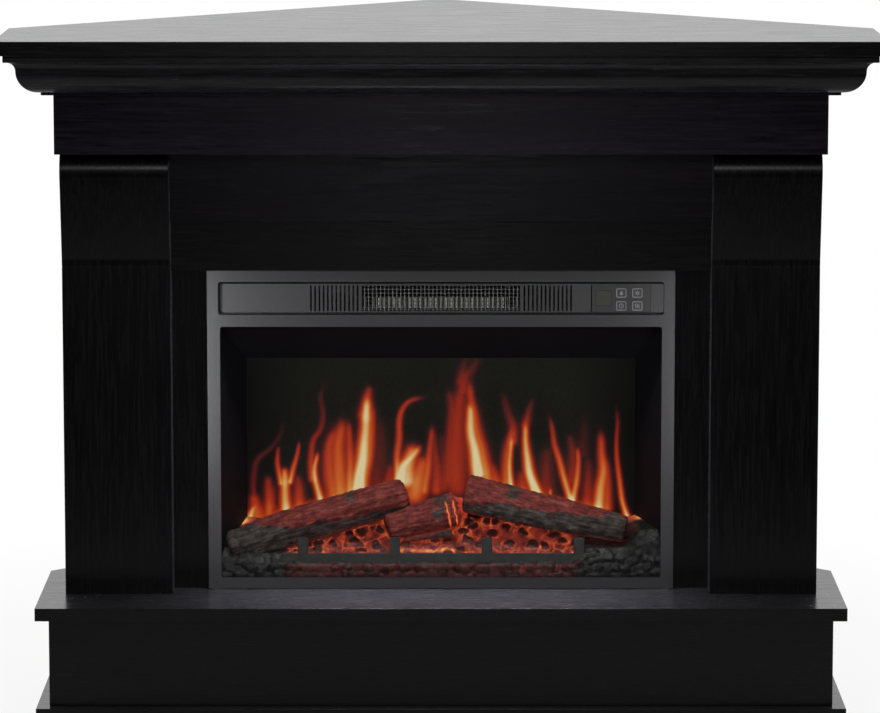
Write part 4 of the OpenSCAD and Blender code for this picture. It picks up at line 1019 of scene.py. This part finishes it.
def buildEmbers():
    look = emberBed
    low, high = boxOf("fire_bed")
    piece, across, up = sheetGrid("fireBed", look["columns"], look["rows"])
    x = low[0] + 0.5 + across * (high[0] - low[0] - 1)
    leftEnd, rightEnd = look["ends"]
    lowHeap = softStep(np.where(x > 0, x + rightEnd, leftEnd - x), *look["lowHeap"])
    heap = 0.3 * lowHeap + 0.7 * softStep(np.abs(x), *look["highHeap"])
    heapZ = np.where(x > 0, *(np.interp(up, look["up"], look["heapZ"][side]) for side in ("right", "left")))
    y = np.interp(up, look["up"], look["y"]) * (1 - heap) + np.interp(up, look["up"], look["heapY"]) * heap
    z = np.interp(up, look["up"], look["z"]) * (1 - heap) + heapZ * heap
    left, right, ridgeY, ridgeRise = look["ridge"]
    z += (ridgeRise * bell(y - ridgeY, look["ridgeWidth"]) * softStep(x, left - look["ridgeEnd"], left)
          * (1 - softStep(x, right, right + look["ridgeEnd"])))
    # the chamber narrows toward the back
    wall = look["wall"] - np.clip((y - look["wallFront"]) / look["wallDepth"], 0, 1) * look["wallLean"]
    x = np.clip(x, -wall, wall)
    flat = np.stack([x, (y - look["y"][0]) * 0.45 + (z - look["z"][0]) * 0.95], axis=1)
    draw = np.random.default_rng(look["seed"])
    bed = softStep(up, 0.27, 0.36) * (1 - lowHeap)
    large = scatter(draw, look["cellSize"])
    small = scatter(draw, look["pebbleSize"])
    warp = np.stack([waves(flat, 5, 30, 2), waves(flat, 6, 30, 2)], axis=1) * 2.2
    nearLarge, nextLarge, which = cells(flat + warp, large)
    nearSmall, _, whichSmall = cells(flat + warp * 0.4, small)
    tall = draw.uniform(0.45, 1.0, len(large))[which]
    tallSmall = draw.uniform(0.2, 1.0, len(small))[whichSmall]
    isStone = tall > look["stoneShare"]
    stone = (1 - softStep(nearLarge, look["stone"] * 0.75, look["stone"] * 1.1)) * isStone
    ring = bell(nearLarge - look["stone"] * 1.15, 1.1) * isStone
    dome = mound(nearLarge, look["cellSize"] * 0.60) * tall
    pebble = mound(nearSmall, look["pebbleSize"] * 0.62) * tallSmall
    roughCoal = waves(flat, 9, 7, 2)
    rise = bed * (look["domeRise"] * dome + look["stoneRise"] * stone + look["roughRise"] * roughCoal
                  + look["pebbleRise"] * pebble * (1 - dome))
    rise += ((1 - bed) * (look["skirtRise"] * pebble + look["skirtRough"] * roughCoal)
             + heap * look["heapRise"] * dome)
    foot = softStep(up, 0.0, 0.05)
    y = y - rise * foot * (0.35 + 0.25 * (1 - bed)) * (1 - bed * 0.4)
    z = z + rise * foot * (0.25 + 0.65 * bed)
    y = np.maximum(y, low[1] + 0.2)
    seam = bell(nextLarge - nearLarge, look["seam"])
    patchy = softStep(waves(flat, 12, 46, 3), -0.75, 0.25)
    red = scaled(*look["coalGlow"], waves(flat, 17, 34, 2))
    glow = bed * (seam * scaled(*look["seamGlow"], patchy) + (1 - seam) * red * (1 - 0.85 * stone)
                  + look["ringGlow"] * ring * patchy)
    glow += bed * scaled(*look["barGlow"], patchy) * bell(up, *look["barLine"])
    for footX, footY, size, strength in look["feet"]:
        glow += strength * np.exp(-(((x - footX) ** 2 + (y - footY) ** 2) / size ** 2) ** 1.2)
    skirt = (1 - softStep(up, 0.22, 0.27)) * (1 - lowHeap)
    streak = 1 - np.abs(waves(flat * (1.0, 0.55), 14, 19, 2)) / 0.22
    glow += (skirt * np.clip(streak, 0, 1) * softStep(waves(flat, 15, 90, 2), -0.5, 0.3)
             * look["streakGlow"] * (1 - pebble))
    # painted light: the embers' red light along the top of the skirt, painted as a glow
    glow += look["skirtTopPaintedLight"] * bell(up, *look["skirtTopLightLine"]) * (1 - lowHeap)
    warm = np.clip(bed * (1.0 - 0.6 * stone) * (1.0 - 0.35 * dome) + skirt * 0.9 * (1 - 0.7 * pebble), 0, 1)
    movePoints(piece, np.stack([x, y, z], axis=1))
    paint(piece, "glow", np.clip(glow, 0, 1))
    paint(piece, "warm", warm)
    drawRim(piece)
    bpy.ops.transform.resize(value=(1, 1, 0), center_override=(0, 0, (low[2] + 0.1) * mm))
    fillRim()
    smooth(piece, 50)
    dress(piece, emberMaterial(), stands=["fire_bed"])
    print("coals:", len(piece.data.polygons), "faces")


# ---- front glass: thin smoked sheet

def glassMaterial():
    material, tree, shader = newMaterial("smokedGlass", Alpha=0.10, IOR=1.28)
    smoke = noise(tree, 6)
    feed(tree, shader, {"Base Color": ramp(tree, smoke, [(0.3, tone(9, 9, 11)), (0.7, tone(12, 12, 14))]),
                        "Roughness": span(tree, smoke, 0.03, 0.06)})
    return material


def refinish(name, material):     # a CAD node that keeps its shape
    nodes[name].data.materials.clear()
    nodes[name].data.materials.append(material)


def buildFire():
    buildScreen()
    material = logMaterial()
    pieces = {name: buildLog(setup, material) for name, setup in logs.items()}
    joinPieces([pieces["centre"], pieces["twig"]], "logCentre")
    pieces["left"].name, pieces["right"].name = "logLeft", "logRight"
    buildEmbers()
    refinish("front_glass", glassMaterial())
    print("fire ready")


buildFire()


# ---- pieces whose CAD shape stays: only a better finish

keptLooks = {
    "zincSteel": ["casing_wrap", "casing_bottom", "casing_back", "angle_brackets"],
    "ductPaintedShade": ["heater_duct"], "screwSteel": ["screws"], "motorSteel": ["blower_motor", "flame_motor"],
    "blackPlastic": ["blower_wheel"], "guardWire": ["vent_guard"], "chamberBlack": ["chamber_liner"],
    "rotorFoil": ["flame_rotor"], "boardGreen": ["control_board"], "lampBoard": ["led_strips"],
    "rubber": ["rubber_feet"], "gland": ["cable_gland"],
}


def finishKept():
    for look, names in keptLooks.items():
        for name in names:
            refinish(name, made[look])
    print("kept pieces finished")


finishKept()
